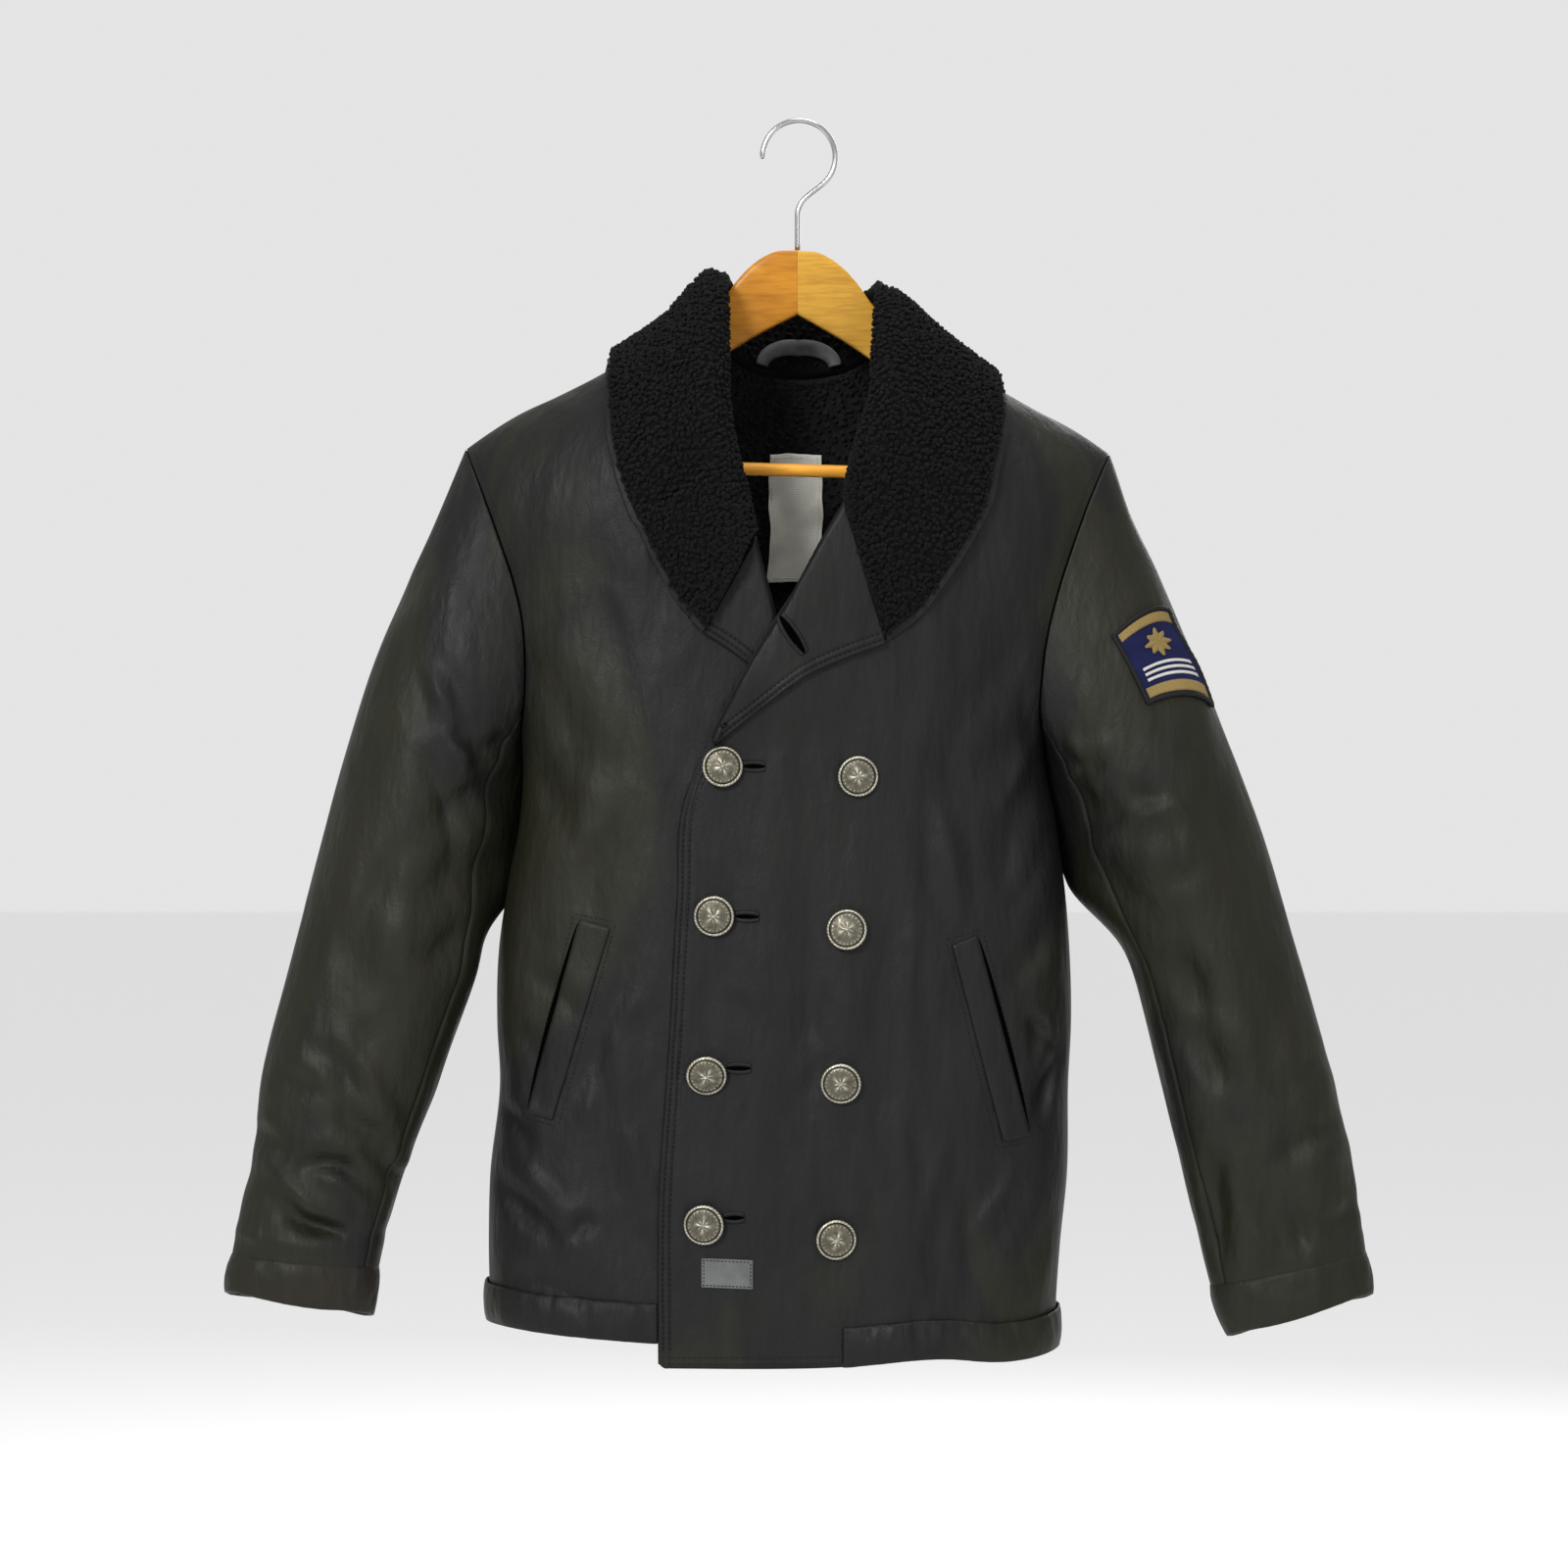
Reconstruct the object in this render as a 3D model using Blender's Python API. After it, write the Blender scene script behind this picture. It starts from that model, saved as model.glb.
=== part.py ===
"""A double-breasted leather jacket with a wide curly fleece collar, hung on a wooden hanger.

The front of the jacket faces -Y and the origin is the underside of the hook's top bend. Lengths in the
tables and functions are millimetres, and each mesh is scaled to metres as it is made.
"""

import math

import bmesh
import bpy
import numpy as np
from mathutils import Vector

MM = 0.001

SEAM = 0.3
LEATHER = 2.0
FLEECE = 5.0
LAPEL = 4.0
UNDER_COLLAR = 1.4
COLLAR_RIM = 2.5
OVERLAP_LIFT = 3.6
ROLL_LIFT = 10.0
TILT = 0.03
SHOULDER_ROUND = 100.0

# The body: at each height, its left and right sides seen from the front, how far it reaches forward
# and back from the plane of the hanger, and how square its section is (2 is an ellipse).
BODY = (
    # height, left, right, front, back, square
    (-890, -219, 184, 90, 87, 3.0),
    (-848, -219, 184, 89, 87, 3.0),
    (-800, -220, 187, 88, 86, 3.0),
    (-750, -219, 192, 88, 86, 3.0),
    (-682, -212, 193, 87, 86, 3.0),
    (-642, -214, 195, 86, 86, 3.0),
    (-592, -213, 194, 86, 85, 3.0),
    (-542, -206, 190, 86, 85, 3.0),
    (-498, -198, 184, 86, 85, 2.9),
    (-440, -197, 176, 86, 84, 2.8),
    (-400, -206, 187, 85, 83, 2.7),
    (-350, -216, 198, 84, 82, 2.6),
    (-300, -226, 209, 83, 80, 2.6),
    (-240, -242, 230, 81, 78, 2.6),
    (-200, -250, 240, 80, 76, 2.6),
    (-100, -256, 246, 80, 75, 2.6),
)

# The line of the shoulders, over which the fronts and the back are rounded.
SHOULDER = (
    # across, height
    (0, -128),
    (40, -130),
    (75, -139),
    (100, -157),
    (137, -182),
    (170, -200),
    (200, -215),
    (220, -228),
    (240, -243),
    (270, -270),
)

# The armhole seams: how far each has risen from the armpit to the shoulder point.
ARMPIT_HEIGHT = {"right": -437.0, "left": -444.0}
ARMHOLE = (
    # rise, right armhole, left armhole
    (0.00, -197, 175.5),
    (0.09, -193.5, 171),
    (0.24, -192, 172),
    (0.40, -194, 177),
    (0.53, -200, 184),
    (0.66, -209, 193),
    (0.83, -222, 206),
    (1.00, -236, 222),
)

# The free edges of the two fronts: the front edge up to the break, then the line where the collar rolls.
EDGE_RIGHT = (
    # height, across
    (-890, 66),
    (-700, 66),
    (-520, 64),
    (-470, 56),
    (-447, 42),
    (-400, 10),
    (-357, -16),
    (-334, -21),
    (-314, -29),
    (-298, -42),
    (-264, -54),
    (-200, -63),
    (-165, -69),
    (-138, -76),
)
EDGE_LEFT = (
    # height, across
    (-890, -97.5),
    (-764, -97.5),
    (-656, -90.5),
    (-557, -85),
    (-480, -78.5),
    (-448, -65),
    (-393, -37.5),
    (-332, 0),
    (-304, 19),
    (-290, 36),
    (-276, 50),
    (-245, 58),
    (-194, 66),
    (-160, 71),
    (-140, 76),
)

# The lower edge of each panel.
HEM_RIGHT = (
    # across, height
    (-220, -852),
    (-180, -857),
    (-130, -861),
    (70, -866),
)
HEM_LEFT = (
    # across, height
    (-100, -880),
    (30, -879),
    (100, -874),
    (150, -877),
    (172, -874),
    (185, -870),
)
HEM_BACK = (
    # across, height
    (-220, -852),
    (-150, -862),
    (0, -868),
    (130, -870),
    (185, -870),
)
# The hem bands: their height, their gap to the panel and their bulge, and where the two in front end.
HEM_BAND = 27.0
HEM_GAP = 1.1
HEM_BULGE = 2.2
HEM_RIGHT_END = -102.5
HEM_LEFT_END = 32.0
NECKLINE = (
    # across, height
    (-75, -138),
    (-45, -166),
    (0, -178),
    (45, -168),
    (75, -141),
)

# The sleeves, station by station from the armhole to the cuff: the outer and inner sides seen from
# the front, the thickness from front to back, and how far the arm has swung forward.
SLEEVE_RIGHT = (
    # station, outer across, outer height, inner across, inner height, depth, forward
    (0, -236, -232, -197, -437, 108, 0),
    (1, -252, -271, -201, -447, 116, 0),
    (2, -275, -322, -207, -465, 124, 0),
    (3, -303, -390, -213, -494, 127, 1),
    (4, -335, -500, -218, -540, 120, 5),
    (5, -358, -590, -226, -600, 106, 11),
    (6, -378, -668, -248, -666, 95, 18),
    (7, -384, -722, -268, -722, 84, 23),
    (8, -394, -772, -286, -774, 70, 27),
    (9, -400, -805, -296, -815, 62, 29),
    (10, -404, -829, -300, -845, 57, 31),
)
SLEEVE_LEFT = (
    # station, outer across, outer height, inner across, inner height, depth, forward
    (0, 222, -236, 175.5, -444, 108, 0),
    (1, 238, -281, 181, -456, 116, 0),
    (2, 262, -332, 189, -480, 124, 0),
    (3, 292, -405, 198, -512, 126, 1),
    (4, 328, -500, 208, -548, 118, 5),
    (5, 353, -585, 236, -602, 104, 11),
    (6, 376, -668, 254, -670, 94, 18),
    (7, 389, -721, 266, -722, 84, 23),
    (8, 398, -770, 278, -770, 71, 27),
    (9, 402, -804, 292, -828, 63, 29),
    (10, 406, -830, 304, -860, 58, 31),
)
CUFF_STATION = 9
# The angles round a sleeve, from its outer side forward, at which the two sleeve seams run.
FRONT_SEAM = 147.0
BACK_SEAM = -124.0

# The collar, from the middle of the back of the neck to each front end: its foot inside the neck,
# the roll, and the outer edge that lies on the shoulders and the chest.
COLLAR_RIGHT = (
    # foot x, foot y, foot z, roll x, roll y, roll z, edge x, edge y, edge z
    (0, 56, -175, 0, 66, -124, 0, 92, -212),
    (-32, 50, -168, -29, 60, -120, -60, 88, -208),
    (-54, 33, -151, -46, 38, -113, -108, 62, -192),
    (-65, 6, -124, -52, 8, -108, -134, 14, -164),
    (-62, -16, -138, -51, -28, -112, -136, -24, -168),
    (-57, -34, -170, -50, -56, -128, -137, -48, -184),
    (-54, -46, -192, -50, -74, -155, -136, -64, -206),
    (-52, -56, -215, -50, -86, -185, -133, -76, -232),
    (-50, -64, -240, -47, -94, -218, -124, -84, -264),
    (-44, -70, -266, -40, -98, -249, -106, -90, -305),
    (-38, -74, -286, -33, -99, -275, -86, -93, -342),
    (-33, -76, -302, -28.6, -99, -297, -66, -94, -364),
)
COLLAR_LEFT = (
    # foot x, foot y, foot z, roll x, roll y, roll z, edge x, edge y, edge z
    (0, 56, -175, 0, 66, -124, 0, 92, -212),
    (34, 50, -169, 31, 60, -121, 62, 88, -210),
    (57, 33, -154, 50, 38, -117, 114, 62, -200),
    (68, 6, -131, 58, 8, -114, 143, 14, -178),
    (66, -16, -147, 57, -28, -120, 148, -24, -186),
    (62, -34, -176, 55, -56, -140, 149, -48, -200),
    (58, -46, -198, 54, -74, -166, 148, -64, -220),
    (56, -56, -220, 53, -86, -194, 142, -76, -248),
    (51, -66, -240, 47, -94, -216, 135, -84, -276),
    (44, -74, -258, 40, -100, -238, 114, -90, -313),
    (39, -76, -270, 35, -103, -256, 88, -93, -350),
    (35, -78, -282, 31.8, -103, -271, 62, -94, -371),
)

# Each lapel, from the end of the fleece to the break: its roll and its lower edge.
LAPEL_RIGHT = (
    # station, roll across, roll height, edge across, edge height
    (0, -28.6, -299, -65.5, -366.5),
    (1, -19.7, -334, -48, -378),
    (2, -12, -362, -32, -390),
)
LAPEL_LEFT = (
    # station, roll across, roll height, edge across, edge height
    (0, 31.8, -274.5, 61.5, -374.5),
    (1, 14.5, -304, 30, -386),
    (2, -5, -340, 3, -399),
    (3, -33, -386, -29, -423),
    (4, -60, -439, -57, -445),
)

# The pocket welts: the four corners, from the upper outer one round by the inner side.
WELT_CORNERS = {
    "right": ((-152.8, -567), (-131.5, -573), (-172, -708), (-190, -703)),
    "left": ((125.7, -578), (107.9, -585), (144, -723), (163, -719)),
}

BUTTON_RADIUS = 14.3
BUTTON_HEIGHT = 7.0
BUTTON_CENTRES = (
    # across, height
    (-52.6, -460),
    (-58.1, -564),
    (-63.6, -674),
    (-65.0, -779),
    (42.1, -466.5),
    (34.5, -574),
    (30.4, -680.5),
    (26.3, -789.5),
)

# The badge on the left sleeve: its middle by station and angle, half its length along the sleeve
# in stations, half its width in degrees, and how it slants across the rings.
PATCH_STATION = 2.35
PATCH_ANGLE = 50.0
PATCH_LONG = 0.43
PATCH_WIDE = 33.0
PATCH_SLANT = -0.28
PATCH = 1.2

LABEL_BOX = ((-21.0, -325.0), (17.0, -232.0))
FRONT_LABEL_BOX = ((-67.0, -823.0), (-31.5, -803.0))
LINING_GAP = 0.7
LINING = 3.0
OFF_LINING = 1.0
LABEL = 1.0

# The hanging loop, on the stand of the collar: the inner and the outer side of its band, each as
# half its span along the collar and its height across it.
LOOP_INNER = (0.060, 0.060)
LOOP_OUTER = (0.090, 0.135)
LOOP = 1.5
OFF_STAND = 1.7

ARM_THICK = 13.0
ARM_REACH = 202.0
ARM = (
    # across, top, bottom
    (0, -91, -137),
    (17, -93, -146),
    (33, -103, -155),
    (44, -115, -162),
    (53, -127.5, -168),
    (64, -137, -175),
    (80, -147.2, -186),
    (100, -160.7, -201),
    (137, -185.7, -228),
    (170, -204.2, -253),
    (190, -214.2, -257),
    (202, -227.2, -249),
)
BAR_HEIGHT = -248.0
BAR_RADIUS = 4.6
BAR_REACH = 172.0
WIRE_RADIUS = 1.95
HOOK_RADIUS = 26.0
HOOK_START = 183.0
HOOK_END = -28.0
STEM_FOOT = -90.6


def material(name, colour, roughness, metallic=0.0):
    made = bpy.data.materials.new(name)
    made.use_nodes = True
    shader = made.node_tree.nodes["Principled BSDF"]
    shader.inputs["Base Color"].default_value = (*colour, 1.0)
    shader.inputs["Roughness"].default_value = roughness
    shader.inputs["Metallic"].default_value = metallic
    return made


def smooth(knots, values, at):
    """A curve through the values at the knots: cubic pieces that share their slopes where they meet."""
    knots = np.asarray(knots, float)
    values = np.asarray(values, float)
    slopes = np.gradient(values, knots, axis=0)
    at = np.clip(np.asarray(at, float), knots[0], knots[-1])
    piece = np.clip(np.searchsorted(knots, at, side="right") - 1, 0, len(knots) - 2)
    step = knots[piece + 1] - knots[piece]
    t = (at - knots[piece]) / step
    more = (1,) * (values.ndim - 1)
    t, step = t.reshape(t.shape + more), step.reshape(t.shape + more)
    start = values[piece] * (1 + 2 * t) * (1 - t) ** 2 + slopes[piece] * step * t * (1 - t) ** 2
    end = values[piece + 1] * t**2 * (3 - 2 * t) + slopes[piece + 1] * step * t**2 * (t - 1)
    return start + end


def column(table, name_at, value_at, at):
    """One column of a table as a smooth function of another."""
    rows = np.array(table, float)
    return smooth(rows[:, name_at], rows[:, value_at], at)


def ease(low, high, at):
    """0 below low, 1 above high, and a smooth step between."""
    t = np.clip((np.asarray(at, float) - low) / (high - low), 0, 1)
    return t * t * (3 - 2 * t)


def shoulder(x):
    """The height of the shoulder line, lower on the wearer's left because the hanger hangs tilted."""
    return column(SHOULDER, 0, 1, np.abs(x)) - TILT * np.asarray(x, float)


def body_depth(x, z, side):
    """How far the body reaches from the hanger's plane at x, z: forward where side is -1, back at 1.

    Across, the depth follows a squared ellipse; near the shoulder line it is rounded to nothing.
    """
    left = column(BODY, 0, 1, z)
    right = column(BODY, 0, 2, z)
    depth = column(BODY, 0, 3 if side < 0 else 4, z)
    square = column(BODY, 0, 5, z)
    across = np.clip(np.abs((2 * x - left - right) / (right - left)), 0, 1)
    section = (1 - across**square) ** (1 / square)
    drop = np.clip((shoulder(x) - z) / SHOULDER_ROUND, 0, 1)
    return depth * section * np.sqrt(np.clip(1 - (1 - drop) ** 2, 0, 1))


def armhole(rise, side):
    """Across and height of the armhole seam on that side, where rise goes from armpit to shoulder."""
    x = column(ARMHOLE, 0, 1 if side == "right" else 2, rise)
    low = ARMPIT_HEIGHT[side]
    top = shoulder(ARMHOLE[-1][1 if side == "right" else 2])
    return x, low + (top - low) * np.asarray(rise, float)


def outer_side(z, side):
    """Where a panel ends across: the side seam, and above the armpit the armhole seam."""
    low = ARMPIT_HEIGHT[side]
    top = shoulder(ARMHOLE[-1][1 if side == "right" else 2])
    seam = column(BODY, 0, 1 if side == "right" else 2, z)
    return np.where(z < low, seam, armhole(np.clip((z - low) / (top - low), 0, 1), side)[0])


LOW_ROWS = 10
HIGH_ROWS = 8


def row_heights(bottom, armpit, top):
    """Heights of the rows of a panel: even up to the armpit, then closing up towards both ends."""
    low = np.linspace(bottom, armpit, LOW_ROWS + 1)
    turn = np.linspace(0, math.pi, HIGH_ROWS + 1)[1:]
    return np.concatenate([low, armpit + (top - armpit) * (1 - np.cos(turn)) / 2])


def spread(start_z, end_z, start_x, end_x, share, hem, top):
    """A panel's points across and up: each row runs from its start to its end, and its height is
    the same share of the way from hem to top that it is at those two ends, blended between them."""
    low_start, low_end = column(hem, 0, 1, start_x), column(hem, 0, 1, end_x)
    start = (start_z - low_start) / (top(start_x) - low_start)
    end = (end_z - low_end) / (top(end_x) - low_end)
    share = share[None, :]
    x = start_x[:, None] * (1 - share) + end_x[:, None] * share
    rise = start[:, None] * (1 - share) + end[:, None] * share
    low = column(hem, 0, 1, x)
    return x, low + np.clip(rise, 0, 1) * (top(x) - low)


def front_lift(x, z):
    """How far the left front stands out from the body: over the right front, and more at its roll."""
    over = OVERLAP_LIFT * (1 - ease(75, 120, x))
    roll = (ROLL_LIFT - OVERLAP_LIFT) * ease(-450, -395, z) * (1 - ease(12, 75, x))
    return over + roll


def front_surface(x, z, side):
    """The outer surface of a front."""
    lift = front_lift(x, z) if side == "left" else 0.0
    return np.stack([x, -(body_depth(x, z, -1) + lift + SEAM / 2), z], axis=-1)


def right_front(x, z):
    return front_surface(x, z, "right")


def left_front(x, z):
    return front_surface(x, z, "left")


def back_surface(x, z):
    return np.stack([x, body_depth(x, z, 1) + SEAM / 2, z], axis=-1)


def back_top(x):
    """The top of the back: the shoulder seams and, between them, the neckline."""
    return np.where(np.abs(x) < NECKLINE[-1][0], column(NECKLINE, 0, 1, x), shoulder(x))


def front_grid(side, columns=13):
    """A front panel's points, row by row from the hem, from the viewer's left to right."""
    edge = EDGE_RIGHT if side == "right" else EDGE_LEFT
    hem = HEM_RIGHT if side == "right" else HEM_LEFT
    seam_x = outer_side(hem[0][1] if side == "right" else hem[-1][1], side)
    armpit = ARMPIT_HEIGHT[side]
    outer_z = row_heights(column(hem, 0, 1, seam_x), armpit, armhole(1, side)[1])
    outer_x = outer_side(outer_z, side)
    top_x = edge[-1][1]
    inner_z = row_heights(column(hem, 0, 1, edge[0][1]), armpit, shoulder(top_x))
    inner_x = column(edge, 0, 1, inner_z)
    inner_x[-1] = top_x
    share = 1 - np.cos(np.linspace(0, math.pi / 2, columns))
    x, z = spread(outer_z, inner_z, outer_x, inner_x, share, hem, shoulder)
    grid = front_surface(x, z, side)
    return grid if side == "right" else grid[:, ::-1]


def back_grid(columns=17):
    """The back's points, row by row from the hem, from the viewer's right to left."""
    ends = []
    for side, corner in (("left", HEM_BACK[-1]), ("right", HEM_BACK[0])):
        heights = row_heights(corner[1], ARMPIT_HEIGHT[side], armhole(1, side)[1])
        ends += [heights, outer_side(heights, side)]
    share = (1 - np.cos(np.linspace(0, math.pi, columns))) / 2
    x, z = spread(ends[0], ends[2], ends[1], ends[3], share, HEM_BACK, back_top)
    return back_surface(x, z)


def sleeve_grid(side, stations, angles):
    """A sleeve's points at these stations and angles. Each ring is an ellipse between the outer and
    inner sides; near the armhole it takes on the shape of the armhole seam."""
    table = SLEEVE_RIGHT if side == "right" else SLEEVE_LEFT
    outer_x, outer_z, inner_x, inner_z, depth, forward = (
        column(table, 0, k, stations)[:, None] for k in range(1, 7)
    )
    turn = np.radians(angles)[None, :]

    def ring(ox, oz, ix, iz, deep, swing):
        x = (ox + ix) / 2 + (ox - ix) / 2 * np.cos(turn)
        z = (oz + iz) / 2 + (oz - iz) / 2 * np.cos(turn)
        return np.stack([x, -swing - deep / 2 * np.sin(turn), z], axis=-1)

    grid = ring(outer_x, outer_z, inner_x, inner_z, depth, forward)
    seam_x, seam_z = armhole((1 + np.cos(turn)) / 2, side)
    front = -(body_depth(seam_x, seam_z, -1) + SEAM / 2)
    back = body_depth(seam_x, seam_z, 1) + SEAM / 2
    if side == "left":
        front = front - front_lift(seam_x, seam_z)
    seam = np.stack([seam_x, np.where(np.sin(turn) > 0, front, back), seam_z], axis=-1)
    change = seam - ring(*table[0][1:])
    stays = 1 - ease(0, 3.2, stations)[:, None, None]
    away = np.array([-1.1 if side == "right" else 1.1, 0, -0.8])
    return grid + change * stays + away


def collar_grid(side, along, across):
    """The collar's upper side: along runs from the middle of the back to the front end, across
    from the foot (0) over the roll (0.34) to the outer edge (1)."""
    rows = np.array(COLLAR_RIGHT if side == "right" else COLLAR_LEFT, float)
    points = smooth(np.linspace(0, 1, len(rows)), rows, along)
    foot, roll, edge = points[:, 0:3], points[:, 3:6], points[:, 6:9]
    crest = clear_of_body(roll + 0.14 * (edge - roll) + np.array([0, 0, 1.5]), 13)
    middle = clear_of_body(roll + 0.52 * (edge - roll), 12)
    edge = clear_of_body(edge, 7.6)
    shape = smooth((0, 0.34, 0.46, 0.7, 1), np.stack([foot, roll, crest, middle, edge]), across)
    return shape.transpose(1, 0, 2)


def collar_point(along, across):
    """One point of the collar's upper side, where along is below 0 on the wearer's right."""
    side = "right" if along < 0 else "left"
    return collar_grid(side, [abs(along)], [across])[0, 0]


def clear_of_body(points, gap):
    """Points moved out, where they must be, to stand at least the gap off the body's surface."""
    x, y, z = points[..., 0], points[..., 1], points[..., 2]
    width = column(BODY, 0, 3, np.minimum(z, -150))
    half = np.where(y < 0, body_depth(x, np.minimum(z, shoulder(x) - SHOULDER_ROUND), -1), width)
    half = np.maximum(half, 1)
    centre = np.minimum(z, shoulder(x) - SHOULDER_ROUND)
    rise = (z - centre) / SHOULDER_ROUND
    reach = np.sqrt((y / half) ** 2 + rise**2)
    lift = np.where(x > -80, front_lift(x, z), 0.0) * (y < 0)
    scale = np.maximum(1, (1 + (gap + lift) / half) / np.maximum(reach, 0.2))
    return np.stack([x, y * scale, centre + (z - centre) * scale], axis=-1)


def out_normals(grid, ring=False):
    """Unit normals of a grid of points, which faces out where columns by rows turn outwards."""
    if ring:
        across = np.roll(grid, -1, axis=1) - np.roll(grid, 1, axis=1)
    else:
        across = np.gradient(grid, axis=1)
    up = np.gradient(grid, axis=0)
    out = np.cross(across, up)
    return out / np.linalg.norm(out, axis=-1, keepdims=True)


def moved_out(grid, distance, ring=False):
    return grid + out_normals(grid, ring) * distance


CUTS = ((0, 1, 2), (0, 2, 3))


def wall_faces(rows, columns, ring):
    """Triangles of a wall whose outer points come first, then its inner ones, and its rims.

    Each cell is cut along the same diagonal outside and inside, so that walls made from one grid
    and moved apart stay parallel."""
    index = np.arange(rows * columns).reshape(rows, columns)
    here = index if ring else index[:, :-1]
    right = np.roll(index, -1, axis=1) if ring else index[:, 1:]
    corners = (here[:-1], right[:-1], right[1:], here[1:])
    outer = np.concatenate([np.stack([corners[k] for k in cut], axis=-1).reshape(-1, 3) for cut in CUTS])
    if ring:
        loops = [index[0], index[-1][::-1]]
    else:
        loops = [np.concatenate([index[0], index[1:, -1], index[-1, -2::-1], index[-2:0:-1, 0]])]
    inner = rows * columns
    rims = []
    for loop in loops:
        after = np.roll(loop, -1)
        rims.append(np.stack([after, loop, loop + inner], axis=-1))
        rims.append(np.stack([after, loop + inner, after + inner], axis=-1))
    return np.concatenate([outer, outer[:, ::-1] + inner, *rims])


def sheet(name, outer, thickness, finish, ring=False, inner=None):
    """A wall of cloth between its outer grid and its inner one, which is the outer grid moved in."""
    if inner is None:
        inner = moved_out(outer, -thickness, ring)
    points = np.concatenate([outer.reshape(-1, 3), inner.reshape(-1, 3)]) * MM
    mesh = bpy.data.meshes.new(name)
    mesh.from_pydata(points.tolist(), [], wall_faces(*outer.shape[:2], ring).tolist())
    mesh.materials.append(finish)
    mesh.shade_smooth()
    made = bpy.data.objects.new(name, mesh)
    bpy.context.collection.objects.link(made)
    return made


def panel(name, outer, thickness, finish, side):
    """A wall on one side of the hanger's plane, -1 in front, whose seams there stop short of it."""
    inner = moved_out(outer, -thickness)
    inner[..., 1] = side * np.maximum(side * inner[..., 1], SEAM / 2)
    return sheet(name, outer, thickness, finish, inner=inner)


def make_body(leather):
    for side in ("right", "left"):
        panel(f"front_{side}", front_grid(side), LEATHER, leather, -1)
    panel("back", back_grid(), LEATHER, leather, 1)


def hem_rows(hem, x, surface):
    """A turned-up hem: rows from the lower edge up, standing off the panel and rounded between."""
    share = np.array([0.0, 0.5, 1.0])[:, None]
    z = column(hem, 0, 1, x)[None, :] + HEM_BAND * share
    grid = surface(np.repeat(x[None, :], 3, axis=0), z)
    return moved_out(grid, (LEATHER + HEM_GAP + HEM_BULGE * np.sin(math.pi * share))[..., None])


def make_hems(leather):
    """Bands over the lower edges. The right one stops where the left front covers it."""
    right = outer_side(HEM_RIGHT[0][1], "right")
    left = outer_side(HEM_LEFT[-1][1], "left")
    quarter = 1 - np.cos(np.linspace(0, math.pi / 2, 9))
    half = (1 - np.cos(np.linspace(0, math.pi, 17))) / 2
    grids = {
        "hem_right": hem_rows(HEM_RIGHT, right + (HEM_RIGHT_END - right) * quarter, right_front),
        "hem_left": hem_rows(HEM_LEFT, (left + (HEM_LEFT_END - left) * quarter)[::-1], left_front),
        "hem_back": hem_rows(HEM_BACK, left + (right - left) * half, back_surface),
    }
    for name, grid in grids.items():
        panel(name, grid, LEATHER, leather, 1 if name == "hem_back" else -1)


def make_sleeves(leather):
    """Each sleeve in a top and an under piece, cut from one ring of angles, and its cuff band."""
    turn = np.linspace(0, 180, HIGH_ROWS + 1)
    angles = np.unique(np.concatenate([turn, -turn[1:-1], [FRONT_SEAM, BACK_SEAM]]))
    stations = np.array([0, 0.6, 1.3, 2.1, 3, 4, 5, 6, 7, 8, CUFF_STATION])
    band = np.array([CUFF_STATION + 0.02, 9.3, 9.7, 10])
    first = int(np.searchsorted(angles, BACK_SEAM))
    angles = np.roll(angles, -first)
    last = int(np.flatnonzero(angles == FRONT_SEAM)[0])
    gap = 0.2
    for side in ("right", "left"):
        way = -1 if side == "right" else 1
        for piece, columns, trim in (("top", np.arange(last + 1), gap), ("under", None, -gap)):
            if columns is None:
                columns = np.arange(last, len(angles) + 1) % len(angles)
            turned = angles.copy()
            turned[0] += trim
            turned[last] -= trim
            outer = sleeve_grid(side, stations, turned)[::way]
            inner = moved_out(outer, -LEATHER, ring=True)
            sheet(f"sleeve_{piece}_{side}", outer[:, columns], LEATHER, leather, inner=inner[:, columns])
        grid = moved_out(sleeve_grid(side, band, np.arange(0, 360, 20))[::way], 0.8, ring=True)
        sheet(f"cuff_{side}", grid, 2.6, leather, ring=True)


def make_collar(fleece, leather):
    """The fleece collar in one piece round the neck, and the leather under its fall."""
    along = np.linspace(0, 1, 14)
    across = np.array([0, 0.18, 0.34, 0.46, 0.6, 0.8, 1])
    halves = [collar_grid(side, along, across) for side in ("right", "left")]
    whole = np.concatenate([halves[0][::-1], halves[1][1:]])
    whole = whole.transpose(1, 0, 2)
    sheet("top_collar", whole, FLEECE, fleece)
    under = moved_out(whole, -(FLEECE + SEAM))[4:]
    rim = under[-1:] + COLLAR_RIM * unit(under[-1:] - under[-2:-1])
    sheet("under_collar", np.concatenate([under, rim]), UNDER_COLLAR, leather)


def unit(vectors):
    return vectors / np.linalg.norm(vectors, axis=-1, keepdims=True)


def lapel_grid(side, stations, shares):
    """A lapel's outer side on its front: rows from the end of the fleece to the break, rounded out
    over its roll and sinking to its lower edge."""
    table = LAPEL_RIGHT if side == "right" else LAPEL_LEFT
    roll_x, roll_z, edge_x, edge_z = (column(table, 0, k, stations)[:, None] for k in range(1, 5))
    x = roll_x * (1 - shares) + edge_x * shares
    z = roll_z * (1 - shares) + edge_z * shares
    surface = front_surface(x, z, side)
    last = table[-1][0]
    near_fleece = 1 - np.asarray(stations)[:, None] / last
    lift = LAPEL + 0.5 + 2.0 * near_fleece + 1.4 * np.sin(math.pi * shares**0.6)
    return surface + np.array([0, -1, 0]) * lift[..., None]


def make_lapels(leather):
    shares = np.linspace(0, 1, 6)[None, :]
    right = lapel_grid("right", np.linspace(0, 2, 5), shares)
    left = lapel_grid("left", np.linspace(0, 4, 9), shares)
    sheet("lapel_right", right[:, ::-1][::-1], LAPEL, leather)
    sheet("lapel_left", left[::-1], LAPEL, leather)


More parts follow.
